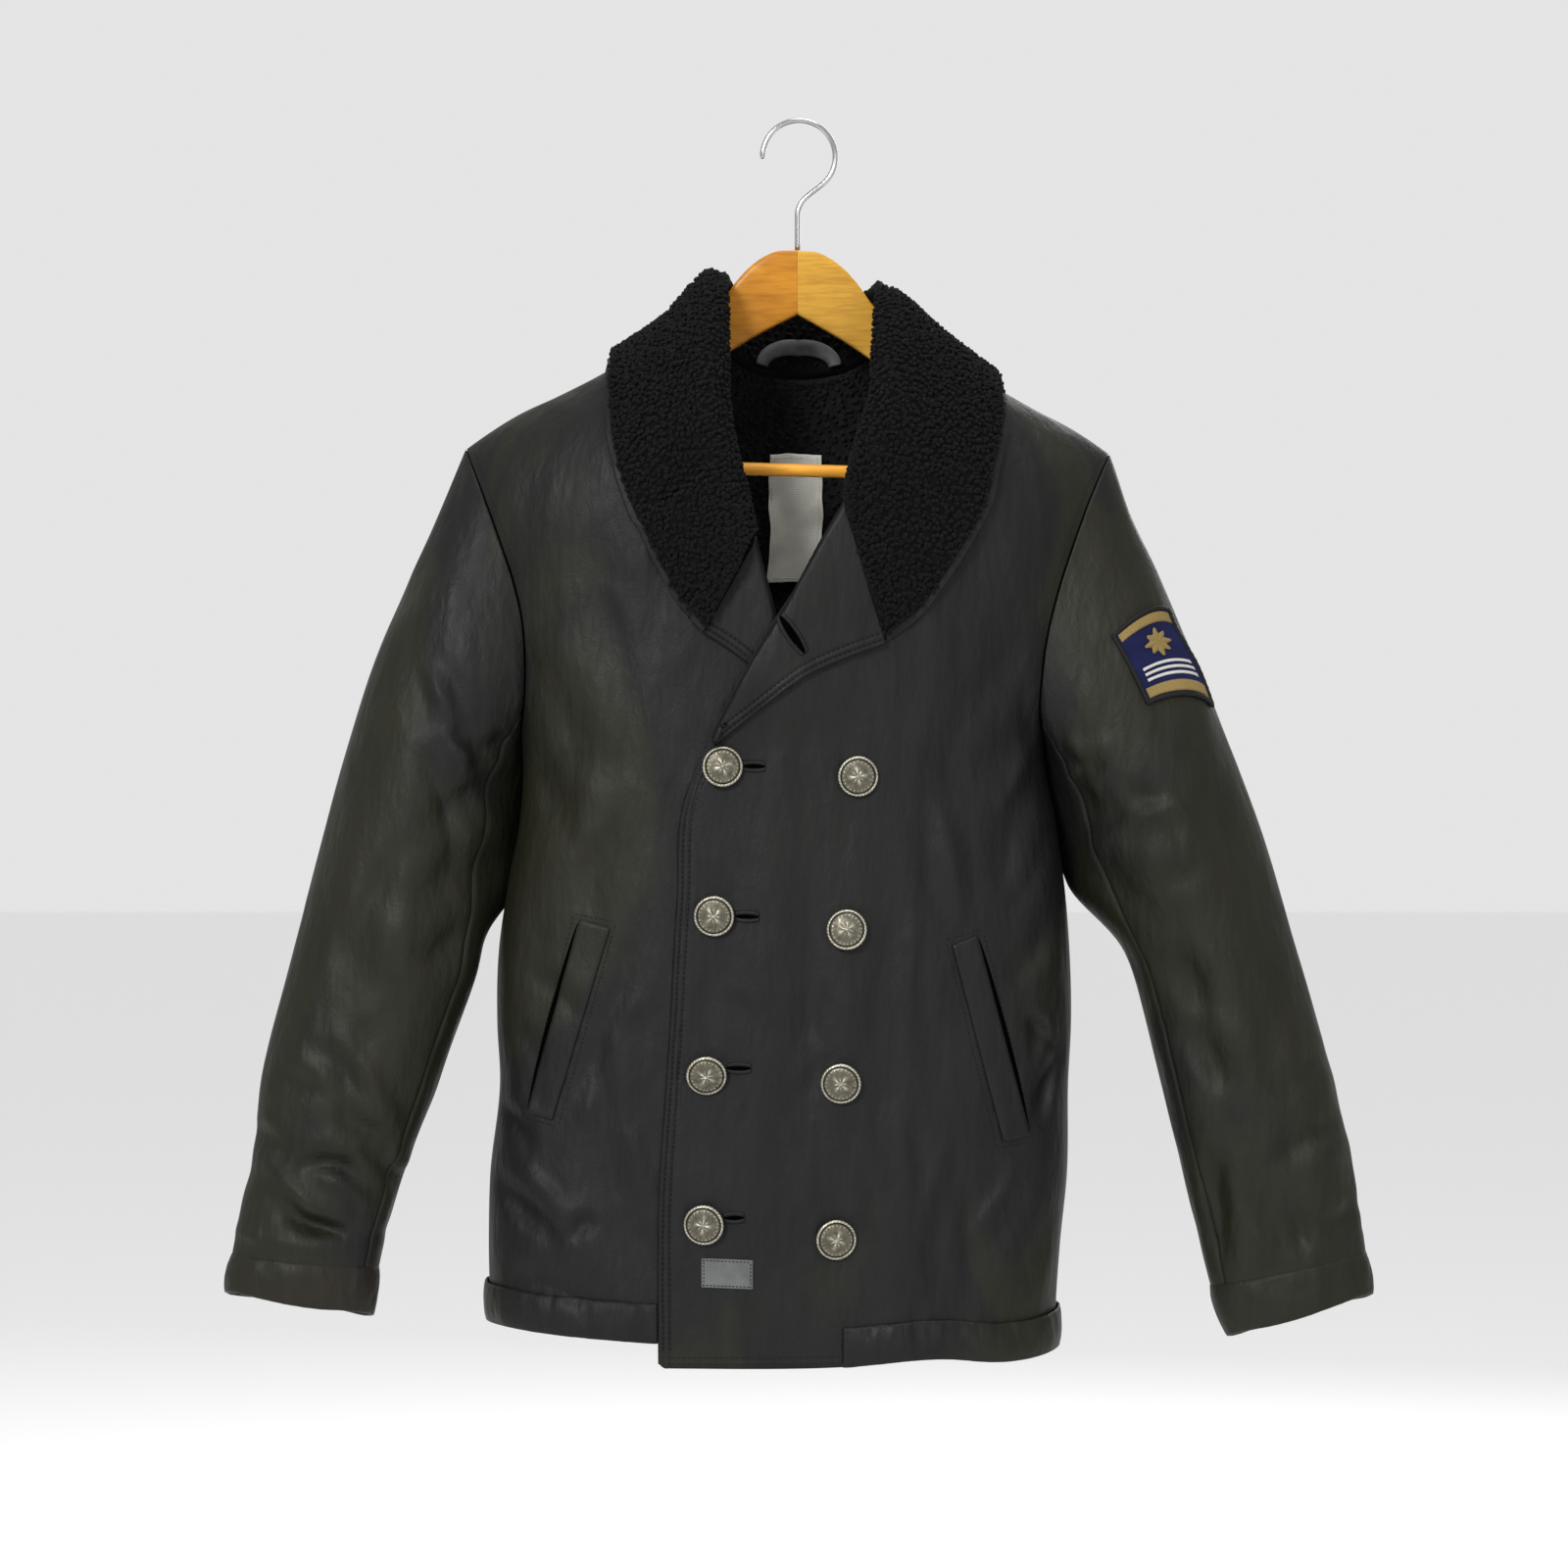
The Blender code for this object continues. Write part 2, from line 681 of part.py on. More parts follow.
def make_neck(fleece, satin, paper):
    """The fleece inside the back of the neck, made from the back's own points, the hanging loop
    in front of it and the label hanging over it."""
    inside = moved_out(back_grid(), -(LEATHER + LINING_GAP))
    lining = inside[LOW_ROWS + 1 : -1, 4:-4]
    sheet("neck_lining", lining, LINING, fleece)
    sides = (LOOP_INNER, LOOP_OUTER)
    band = [
        [collar_point(-half * math.cos(turn), high * math.sin(turn)) for half, high in sides]
        for turn in np.linspace(0, math.pi, 13)
    ]
    sheet("hanging_loop", moved_out(np.array(band), -OFF_STAND), LOOP, satin)
    label = label_grid(LABEL_BOX, 4, 7, back_surface)
    hollow = LEATHER + LINING_GAP + LINING + OFF_LINING
    sheet("care_label", moved_out(label, hollow + LABEL), LABEL, paper)


def label_grid(box, columns, rows, surface):
    x = np.linspace(box[0][0], box[1][0], columns)[None, :] + np.zeros((rows, 1))
    z = np.linspace(box[0][1], box[1][1], rows)[:, None] + np.zeros((1, columns))
    return surface(x, z)


def make_trims(leather, satin):
    """Pocket welts and the small label, each made from the panel's points and moved out."""
    shares = np.linspace(0, 1, 4)[None, :]
    lengths = np.linspace(0, 1, 9)[:, None]
    for side, (a, b, c, d) in WELT_CORNERS.items():
        lefts, rights = ((d, a), (c, b)) if side == "right" else ((c, b), (d, a))
        low = [lefts[0][k] * (1 - shares) + rights[0][k] * shares for k in (0, 1)]
        high = [lefts[1][k] * (1 - shares) + rights[1][k] * shares for k in (0, 1)]
        x, z = (low[k] * (1 - lengths) + high[k] * lengths for k in (0, 1))
        grid = moved_out(front_surface(x, z, side), LEATHER + SEAM + 0.2)
        sheet(f"welt_{side}", grid, LEATHER, leather)
    on_front = label_grid(FRONT_LABEL_BOX, 4, 3, left_front)
    sheet("front_label", moved_out(on_front, LABEL + SEAM), LABEL, satin)


def make_patch(badge):
    """The badge, from the left sleeve's own points, moved out."""
    share = np.linspace(-1, 1, 7)
    rings = np.concatenate([
        sleeve_grid("left", PATCH_STATION + PATCH_LONG * share + PATCH_SLANT * across, [angle])
        for across, angle in zip(share, PATCH_ANGLE + PATCH_WIDE * share)
    ], axis=1)
    sheet("sleeve_patch", moved_out(rings, PATCH + 2 * SEAM), PATCH, badge)


def make_buttons(metal):
    """Domed buttons, each turned about its own axis and set square on the panel under it."""
    profile = [(0, 0), (0.62, 0), (0.66, 0.16), (0.97, 0.2), (1, 0.36), (0.9, 0.62), (0.6, 0.88), (0, 1)]
    shape = bmesh.new()
    points = [shape.verts.new((BUTTON_RADIUS * r * MM, 0, BUTTON_HEIGHT * h * MM)) for r, h in profile]
    edges = [shape.edges.new(pair) for pair in zip(points, points[1:])]
    bmesh.ops.spin(
        shape, geom=points + edges, cent=(0, 0, 0), axis=(0, 0, 1), angle=math.tau, steps=18, use_merge=True
    )
    bmesh.ops.remove_doubles(shape, verts=shape.verts, dist=1e-6)
    bmesh.ops.recalc_face_normals(shape, faces=shape.faces)
    mesh = bpy.data.meshes.new("button")
    shape.to_mesh(mesh)
    shape.free()
    mesh.materials.append(metal)
    mesh.shade_smooth()
    for number, (x, z) in enumerate(BUTTON_CENTRES, start=1):
        x_near = np.array([[x - 8, x + 8], [x - 8, x + 8]])
        z_near = np.array([[z - 8, z - 8], [z + 8, z + 8]])
        patch = front_surface(x_near, z_near, "left")
        out = Vector(out_normals(patch)[0, 0])
        seat = Vector(front_surface(np.array(x), np.array(z), "left"))
        made = bpy.data.objects.new(f"button_{number}", mesh)
        made.rotation_mode = "QUATERNION"
        made.rotation_quaternion = Vector((0, 0, 1)).rotation_difference(out)
        made.location = (seat + out * (SEAM + 0.5)) * MM
        bpy.context.collection.objects.link(made)


def drill(made, start, end, radius):
    """A round hole from start to end, in millimetres, through the object."""
    start, end = Vector(start), Vector(end)
    bpy.ops.mesh.primitive_cylinder_add(vertices=20, radius=radius * MM, depth=(end - start).length * MM)
    cutter = bpy.context.object
    cutter.name = f"{made.name}_drill"
    cutter.rotation_mode = "QUATERNION"
    cutter.rotation_quaternion = Vector((0, 0, 1)).rotation_difference(end - start)
    cutter.location = (start + end) / 2 * MM
    cutter.hide_render = True
    cutter.display_type = "WIRE"
    hole = made.modifiers.new("hole", "BOOLEAN")
    hole.object = cutter
    hole.solver = "EXACT"


def arm_section(x, side):
    """A hanger arm's outline at x: a squared ellipse between its top and bottom."""
    turn = np.radians(np.arange(0, 360, 30) + 15)
    top = column(ARM, 0, 1, abs(x)) - TILT * x * side
    bottom = column(ARM, 0, 2, abs(x)) - TILT * x * side
    thick = ARM_THICK + 5 * ease(60, 190, abs(x))
    round_off = 0.4 + 0.35 * ease(50, 90, abs(x))
    y = np.sign(np.cos(turn)) * np.abs(np.cos(turn)) ** round_off * thick / 2
    z = (top + bottom) / 2 + np.sign(np.sin(turn)) * np.abs(np.sin(turn)) ** round_off * (top - bottom) / 2
    return [(side * x * MM, a * MM, b * MM) for a, b in zip(y, z)]


def make_hanger(wood, chrome):
    """Two arms that meet in the middle, the trouser bar in its sockets, and the hook."""
    places = np.array([SEAM / 2, 9, 17, 25, 33, 44, 53, 64, 80, 100, 137, 170, 190, ARM_REACH])
    bar_tilt = TILT * BAR_REACH
    ends = [(side * BAR_REACH, 0, BAR_HEIGHT - side * bar_tilt) for side in (-1, 1)]
    for name, side in (("right", -1), ("left", 1)):
        mesh = bpy.data.meshes.new(f"hanger_arm_{name}")
        shape = bmesh.new()
        rings = [[shape.verts.new(p) for p in arm_section(x, side)] for x in places]
        for one, two in zip(rings, rings[1:]):
            for k, vert in enumerate(one):
                after = (k + 1) % len(one)
                shape.faces.new((vert, one[after], two[after], two[k]))
        shape.faces.new(rings[0])
        shape.faces.new(rings[-1])
        bmesh.ops.recalc_face_normals(shape, faces=shape.faces)
        shape.to_mesh(mesh)
        shape.free()
        mesh.materials.append(wood)
        made = bpy.data.objects.new(mesh.name, mesh)
        bpy.context.collection.objects.link(made)
        outward = np.array(ends[(side + 1) // 2]) + np.array([side * SEAM, 0, 0])
        inward = (side * 60, 0, BAR_HEIGHT - side * TILT * 60)
        drill(made, inward, tuple(outward), BAR_RADIUS + SEAM)
    tube("hanger_bar", [Vector(end) for end in ends], BAR_RADIUS, wood, 3)
    tube("hook", hook_points(), WIRE_RADIUS, chrome, 2)


def hook_points():
    """The hook's middle line: round the top bend, then a reverse curve into the straight stem."""
    top = WIRE_RADIUS - HOOK_RADIUS
    points = []
    for turn in np.radians(np.linspace(HOOK_START, HOOK_END, 22)):
        points.append(Vector((1.0 + HOOK_RADIUS * math.cos(turn), 0, top + HOOK_RADIUS * math.sin(turn))))
    start = points[-1]
    pull = Vector((-math.sin(math.radians(-HOOK_END)), 0, -math.cos(math.radians(-HOOK_END)))) * 14
    foot = Vector((0, 0, -66))
    for share in np.linspace(0, 1, 9)[1:]:
        near = start + pull
        far = foot + Vector((0, 0, 15))
        back = 1 - share
        point = start * back**3 + near * 3 * back**2 * share + far * 3 * back * share**2 + foot * share**3
        points.append(point)
    return points + [Vector((0, 0, STEM_FOOT))]


def tube(name, points, radius, finish, roundness):
    """A round bar or wire along points given in millimetres."""
    curve = bpy.data.curves.new(name, "CURVE")
    curve.dimensions = "3D"
    curve.bevel_depth = radius * MM
    curve.bevel_resolution = roundness
    curve.use_fill_caps = True
    line = curve.splines.new("POLY")
    line.points.add(len(points) - 1)
    for point, place in zip(line.points, points):
        point.co = (*(place * MM), 1.0)
    curve.materials.append(finish)
    made = bpy.data.objects.new(name, curve)
    bpy.context.collection.objects.link(made)
    return made


def main():
    for old in list(bpy.data.objects):
        bpy.data.objects.remove(old)
    leather = material("black_leather", (0.026, 0.026, 0.024), 0.42)
    fleece = material("black_fleece", (0.012, 0.012, 0.013), 0.95)
    satin = material("grey_satin", (0.06, 0.062, 0.065), 0.5)
    paper = material("cream_label", (0.62, 0.62, 0.56), 0.8)
    badge = material("navy_badge", (0.012, 0.02, 0.07), 0.8)
    pewter = material("antique_pewter", (0.33, 0.32, 0.28), 0.45, 1.0)
    wood = material("varnished_wood", (0.62, 0.34, 0.08), 0.3)
    chrome = material("chrome", (0.75, 0.75, 0.76), 0.12, 1.0)
    make_body(leather)
    make_hems(leather)
    make_sleeves(leather)
    make_collar(fleece, leather)
    make_lapels(leather)
    make_neck(fleece, satin, paper)
    make_trims(leather, satin)
    make_patch(badge)
    make_buttons(pewter)
    make_hanger(wood, chrome)


main()
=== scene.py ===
import math

import bpy
import numpy as np
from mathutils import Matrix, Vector


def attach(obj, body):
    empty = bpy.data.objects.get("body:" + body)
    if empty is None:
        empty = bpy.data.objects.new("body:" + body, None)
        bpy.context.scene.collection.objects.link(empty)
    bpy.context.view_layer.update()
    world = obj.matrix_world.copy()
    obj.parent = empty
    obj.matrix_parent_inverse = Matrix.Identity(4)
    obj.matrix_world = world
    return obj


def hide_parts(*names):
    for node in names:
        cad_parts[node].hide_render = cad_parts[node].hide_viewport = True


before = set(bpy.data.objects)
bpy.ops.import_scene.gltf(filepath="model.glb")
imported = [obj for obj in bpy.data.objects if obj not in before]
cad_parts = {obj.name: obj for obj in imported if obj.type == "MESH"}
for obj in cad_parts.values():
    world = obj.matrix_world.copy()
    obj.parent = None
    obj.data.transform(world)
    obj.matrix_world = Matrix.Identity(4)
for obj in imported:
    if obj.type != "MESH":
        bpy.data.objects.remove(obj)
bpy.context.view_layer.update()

# Lengths in the tables and the functions are millimetres; a mesh is scaled to metres as it is made.
MM = 0.001
SEAM = 0.3
LEATHER = 2.0
FLEECE = 5.0
LAPEL = 4.0
UNDER_COLLAR = 1.4
COLLAR_RIM = 2.5
OVERLAP_LIFT = 3.6
ROLL_LIFT = 10.0
TILT = 0.03
SHOULDER_ROUND = 100.0

# The body: at each height, its left and right sides seen from the front, how far it reaches forward
# and back from the plane of the hanger, and how square its section is (2 is an ellipse).
BODY = (
    # height, left, right, front, back, square
    (-890, -219, 184, 90, 87, 3.0),
    (-848, -219, 184, 89, 87, 3.0),
    (-800, -220, 187, 88, 86, 3.0),
    (-750, -219, 192, 88, 86, 3.0),
    (-682, -212, 193, 87, 86, 3.0),
    (-642, -214, 195, 86, 86, 3.0),
    (-592, -213, 194, 86, 85, 3.0),
    (-542, -206, 190, 86, 85, 3.0),
    (-498, -198, 184, 86, 85, 2.9),
    (-440, -197, 176, 86, 84, 2.8),
    (-400, -206, 187, 85, 83, 2.7),
    (-350, -216, 198, 84, 82, 2.6),
    (-300, -226, 209, 83, 80, 2.6),
    (-240, -242, 230, 81, 78, 2.6),
    (-200, -250, 240, 80, 76, 2.6),
    (-100, -256, 246, 80, 75, 2.6),
)

# The line of the shoulders, over which the fronts and the back are rounded.
SHOULDER = (
    # across, height
    (0, -128),
    (40, -130),
    (75, -139),
    (100, -157),
    (137, -182),
    (170, -200),
    (200, -215),
    (220, -228),
    (240, -243),
    (270, -270),
)

# The armhole seams: how far each has risen from the armpit to the shoulder point.
ARMPIT_HEIGHT = {"right": -437.0, "left": -444.0}
ARMHOLE = (
    # rise, right armhole, left armhole
    (0.00, -197, 175.5),
    (0.09, -193.5, 171),
    (0.24, -192, 172),
    (0.40, -194, 177),
    (0.53, -200, 184),
    (0.66, -209, 193),
    (0.83, -222, 206),
    (1.00, -236, 222),
)

# The free edges of the two fronts: the front edge up to the break, then the line where the collar rolls.
EDGE_RIGHT = (
    # height, across
    (-890, 66),
    (-700, 66),
    (-520, 64),
    (-470, 56),
    (-447, 42),
    (-400, 10),
    (-357, -16),
    (-334, -21),
    (-314, -29),
    (-298, -42),
    (-264, -54),
    (-200, -63),
    (-165, -69),
    (-138, -76),
)
EDGE_LEFT = (
    # height, across
    (-890, -97.5),
    (-764, -97.5),
    (-656, -90.5),
    (-557, -85),
    (-480, -78.5),
    (-448, -65),
    (-393, -37.5),
    (-332, 0),
    (-304, 19),
    (-290, 36),
    (-276, 50),
    (-245, 58),
    (-194, 66),
    (-160, 71),
    (-140, 76),
)

# The lower edge of each panel.
HEM_RIGHT = (
    # across, height
    (-220, -852),
    (-180, -857),
    (-130, -861),
    (70, -866),
)
HEM_LEFT = (
    # across, height
    (-100, -880),
    (30, -879),
    (100, -874),
    (150, -877),
    (172, -874),
    (185, -870),
)
HEM_BACK = (
    # across, height
    (-220, -852),
    (-150, -862),
    (0, -868),
    (130, -870),
    (185, -870),
)
HEM_BAND = 27.0
HEM_GAP = 1.1
HEM_BULGE = 2.2
HEM_RIGHT_END = -98.2
HEM_LEFT_END = 32.0
NECKLINE = (
    # across, height
    (-75, -138),
    (-45, -166),
    (0, -178),
    (45, -168),
    (75, -141),
)

# The sleeves, station by station from the armhole to the cuff: the outer and inner sides seen from
# the front, the thickness from front to back, and how far the arm has swung forward.
SLEEVE_RIGHT = (
    # station, outer across, outer height, inner across, inner height, depth, forward
    (0, -236, -232, -197, -437, 108, 0),
    (1, -252, -271, -201, -447, 116, 0),
    (2, -275, -322, -207, -465, 124, 0),
    (3, -303, -390, -213, -494, 127, 1),
    (4, -335, -500, -218, -540, 120, 5),
    (5, -358, -590, -226, -600, 106, 11),
    (6, -378, -668, -248, -666, 95, 18),
    (7, -384, -722, -268, -722, 84, 23),
    (8, -394, -772, -286, -774, 70, 27),
    (9, -400, -805, -296, -815, 62, 29),
    (10, -404, -829, -300, -845, 57, 31),
)
SLEEVE_LEFT = (
    # station, outer across, outer height, inner across, inner height, depth, forward
    (0, 222, -236, 175.5, -444, 108, 0),
    (1, 238, -281, 181, -456, 116, 0),
    (2, 262, -332, 189, -480, 124, 0),
    (3, 292, -405, 198, -512, 126, 1),
    (4, 328, -500, 208, -548, 118, 5),
    (5, 353, -585, 236, -602, 104, 11),
    (6, 376, -668, 254, -670, 94, 18),
    (7, 389, -721, 266, -722, 84, 23),
    (8, 398, -770, 278, -770, 71, 27),
    (9, 402, -804, 292, -828, 63, 29),
    (10, 406, -830, 304, -860, 58, 31),
)
CUFF_STATION = 9
# The angles round a sleeve, from its outer side forward, at which the two sleeve seams run.
FRONT_SEAM = 147.0
BACK_SEAM = -124.0

# The collar, from the middle of the back of the neck to each front end: its foot inside the neck,
# the roll, and the outer edge that lies on the shoulders and the chest.
COLLAR_RIGHT = (
    # foot x, foot y, foot z, roll x, roll y, roll z, edge x, edge y, edge z
    (0, 56, -175, 0, 66, -124, 0, 92, -212),
    (-32, 50, -168, -29, 60, -120, -60, 88, -208),
    (-54, 33, -151, -46, 38, -113, -108, 62, -192),
    (-65, 6, -124, -52, 8, -108, -134, 14, -164),
    (-62, -16, -138, -51, -28, -112, -136, -24, -168),
    (-57, -34, -170, -50, -56, -128, -137, -48, -184),
    (-54, -46, -192, -50, -74, -155, -136, -64, -206),
    (-52, -56, -215, -50, -86, -185, -133, -76, -232),
    (-50, -64, -240, -47, -94, -218, -124, -84, -264),
    (-44, -70, -266, -40, -98, -249, -106, -90, -305),
    (-38, -74, -286, -33, -99, -275, -86, -93, -342),
    (-33, -76, -302, -28.6, -99, -297, -66, -94, -364),
)
COLLAR_LEFT = (
    # foot x, foot y, foot z, roll x, roll y, roll z, edge x, edge y, edge z
    (0, 56, -175, 0, 66, -124, 0, 92, -212),
    (34, 50, -169, 31, 60, -121, 62, 88, -210),
    (57, 33, -154, 50, 38, -117, 114, 62, -200),
    (68, 6, -131, 58, 8, -114, 143, 14, -178),
    (66, -16, -147, 57, -28, -120, 148, -24, -186),
    (62, -34, -176, 55, -56, -140, 149, -48, -200),
    (58, -46, -198, 54, -74, -166, 148, -64, -220),
    (56, -56, -220, 53, -86, -194, 142, -76, -248),
    (51, -66, -240, 47, -94, -216, 135, -84, -276),
    (44, -74, -258, 40, -100, -238, 114, -90, -313),
    (39, -76, -270, 35, -103, -256, 88, -93, -350),
    (35, -78, -282, 31.8, -103, -271, 62, -94, -371),
)

# Each lapel, from the end of the fleece to the break: its roll and its lower edge.
LAPEL_RIGHT = (
    # station, roll across, roll height, edge across, edge height
    (0, -28.6, -299, -65.5, -366.5),
    (1, -19.7, -334, -48, -378),
    (2, -12, -362, -32, -390),
)
LAPEL_LEFT = (
    # station, roll across, roll height, edge across, edge height
    (0, 31.8, -274.5, 61.5, -374.5),
    (1, 14.5, -304, 30, -386),
    (2, -5, -340, 3, -399),
    (3, -33, -386, -29, -423),
    (4, -60, -439, -57, -445),
)

# The pocket welts: the four corners, from the upper outer one round by the inner side.
WELT_CORNERS = {
    "right": ((-152.8, -567), (-131.5, -573), (-172, -708), (-190, -703)),
    "left": ((125.7, -578), (107.9, -585), (144, -723), (163, -719)),
}

BUTTON_RADIUS = 14.3
BUTTON_HEIGHT = 7.0
BUTTON_CENTRES = (
    # across, height
    (-52.6, -460),
    (-58.1, -564),
    (-63.6, -674),
    (-65.0, -779),
    (42.1, -466.5),
    (34.5, -574),
    (30.4, -680.5),
    (26.3, -789.5),
)

# The badge on the left sleeve: its middle by station and angle, half its length along the sleeve
# in stations, half its width in degrees, and how it slants across the rings.
PATCH_STATION = 2.35
PATCH_ANGLE = 47.0
PATCH_LONG = 0.46
PATCH_WIDE = 26.5
PATCH_SLANT = -0.28
PATCH = 1.2

LABEL_BOX = ((-21.0, -325.0), (17.0, -232.0))
FRONT_LABEL_BOX = ((-67.0, -823.0), (-31.5, -803.0))
LINING_GAP = 0.7
LINING = 3.0
OFF_LINING = 1.0
LABEL = 1.0
LOOP_INNER = (0.062, 0.070)
LOOP_OUTER = (0.087, 0.122)
LOOP = 1.5
OFF_STAND = 1.7

ARM_THICK = 13.0
ARM_REACH = 202.0
ARM = (
    # across, top, bottom
    (0, -91, -137),
    (17, -93, -146),
    (33, -103, -155),
    (44, -115, -162),
    (53, -127.5, -168),
    (64, -137, -175),
    (80, -147.2, -186),
    (100, -160.7, -201),
    (137, -185.7, -228),
    (170, -204.2, -253),
    (190, -214.2, -257),
    (202, -227.2, -249),
)
BAR_HEIGHT = -248.0
BAR_RADIUS = 4.6
BAR_REACH = 172.0
WIRE_RADIUS = 1.95
HOOK_RADIUS = 26.0
HOOK_START = 183.0
HOOK_END = -28.0
STEM_FOOT = -90.6

# The tables of each side, by the wearer's side, and the column of a table with both that is its own.
EDGES = {"right": EDGE_RIGHT, "left": EDGE_LEFT}
HEMS = {"right": HEM_RIGHT, "left": HEM_LEFT}
SLEEVES = {"right": SLEEVE_RIGHT, "left": SLEEVE_LEFT}
COLLARS = {"right": COLLAR_RIGHT, "left": COLLAR_LEFT}
LAPELS = {"right": LAPEL_RIGHT, "left": LAPEL_LEFT}
SIDE_COLUMN = {"right": 1, "left": 2}


def smooth(knots, values, at):
    """A curve through the values at the knots: cubic pieces that share their slopes where they meet."""
    knots = np.asarray(knots, float)
    values = np.asarray(values, float)
    slopes = np.gradient(values, knots, axis=0)
    at = np.clip(np.asarray(at, float), knots[0], knots[-1])
    piece = np.clip(np.searchsorted(knots, at, side="right") - 1, 0, len(knots) - 2)
    step = knots[piece + 1] - knots[piece]
    t = (at - knots[piece]) / step
    more = (1,) * (values.ndim - 1)
    t, step = t.reshape(t.shape + more), step.reshape(t.shape + more)
    start = values[piece] * (1 + 2 * t) * (1 - t) ** 2 + slopes[piece] * step * t * (1 - t) ** 2
    end = values[piece + 1] * t**2 * (3 - 2 * t) + slopes[piece + 1] * step * t**2 * (t - 1)
    return start + end


def column(table, name_at, value_at, at):
    """One column of a table as a smooth function of another."""
    rows = np.array(table, float)
    return smooth(rows[:, name_at], rows[:, value_at], at)


def ease(low, high, at):
    """0 below low, 1 above high, and a smooth step between."""
    t = np.clip((np.asarray(at, float) - low) / (high - low), 0, 1)
    return t * t * (3 - 2 * t)


def hump(centre, width, at):
    """A bell: 1 at the centre, falling to nothing a few widths away."""
    return np.exp(-(((np.asarray(at, float) - centre) / width) ** 2))


def unit(vectors):
    """Vectors divided by their own lengths."""
    return vectors / np.maximum(np.linalg.norm(vectors, axis=-1, keepdims=True), 1e-9)


def cloud(points, size, seed, layers=3):
    """Smooth unevenness between about -1 and 1 at points of any shape: waves in directions drawn from
    the seed, each layer half as strong as the last and twice as fine, from one wave per size."""
    draw = np.random.default_rng(seed)
    total = np.zeros(points.shape[:-1])
    for layer in range(layers):
        ways = unit(draw.normal(size=(5, points.shape[-1])))
        starts = draw.uniform(0, math.tau, 5)
        pace = math.tau * 2**layer / size * draw.uniform(0.75, 1.25, 5)
        total += np.sin(points @ (ways * pace[:, None]).T + starts).sum(axis=-1) / 5 / 1.6**layer
    return total


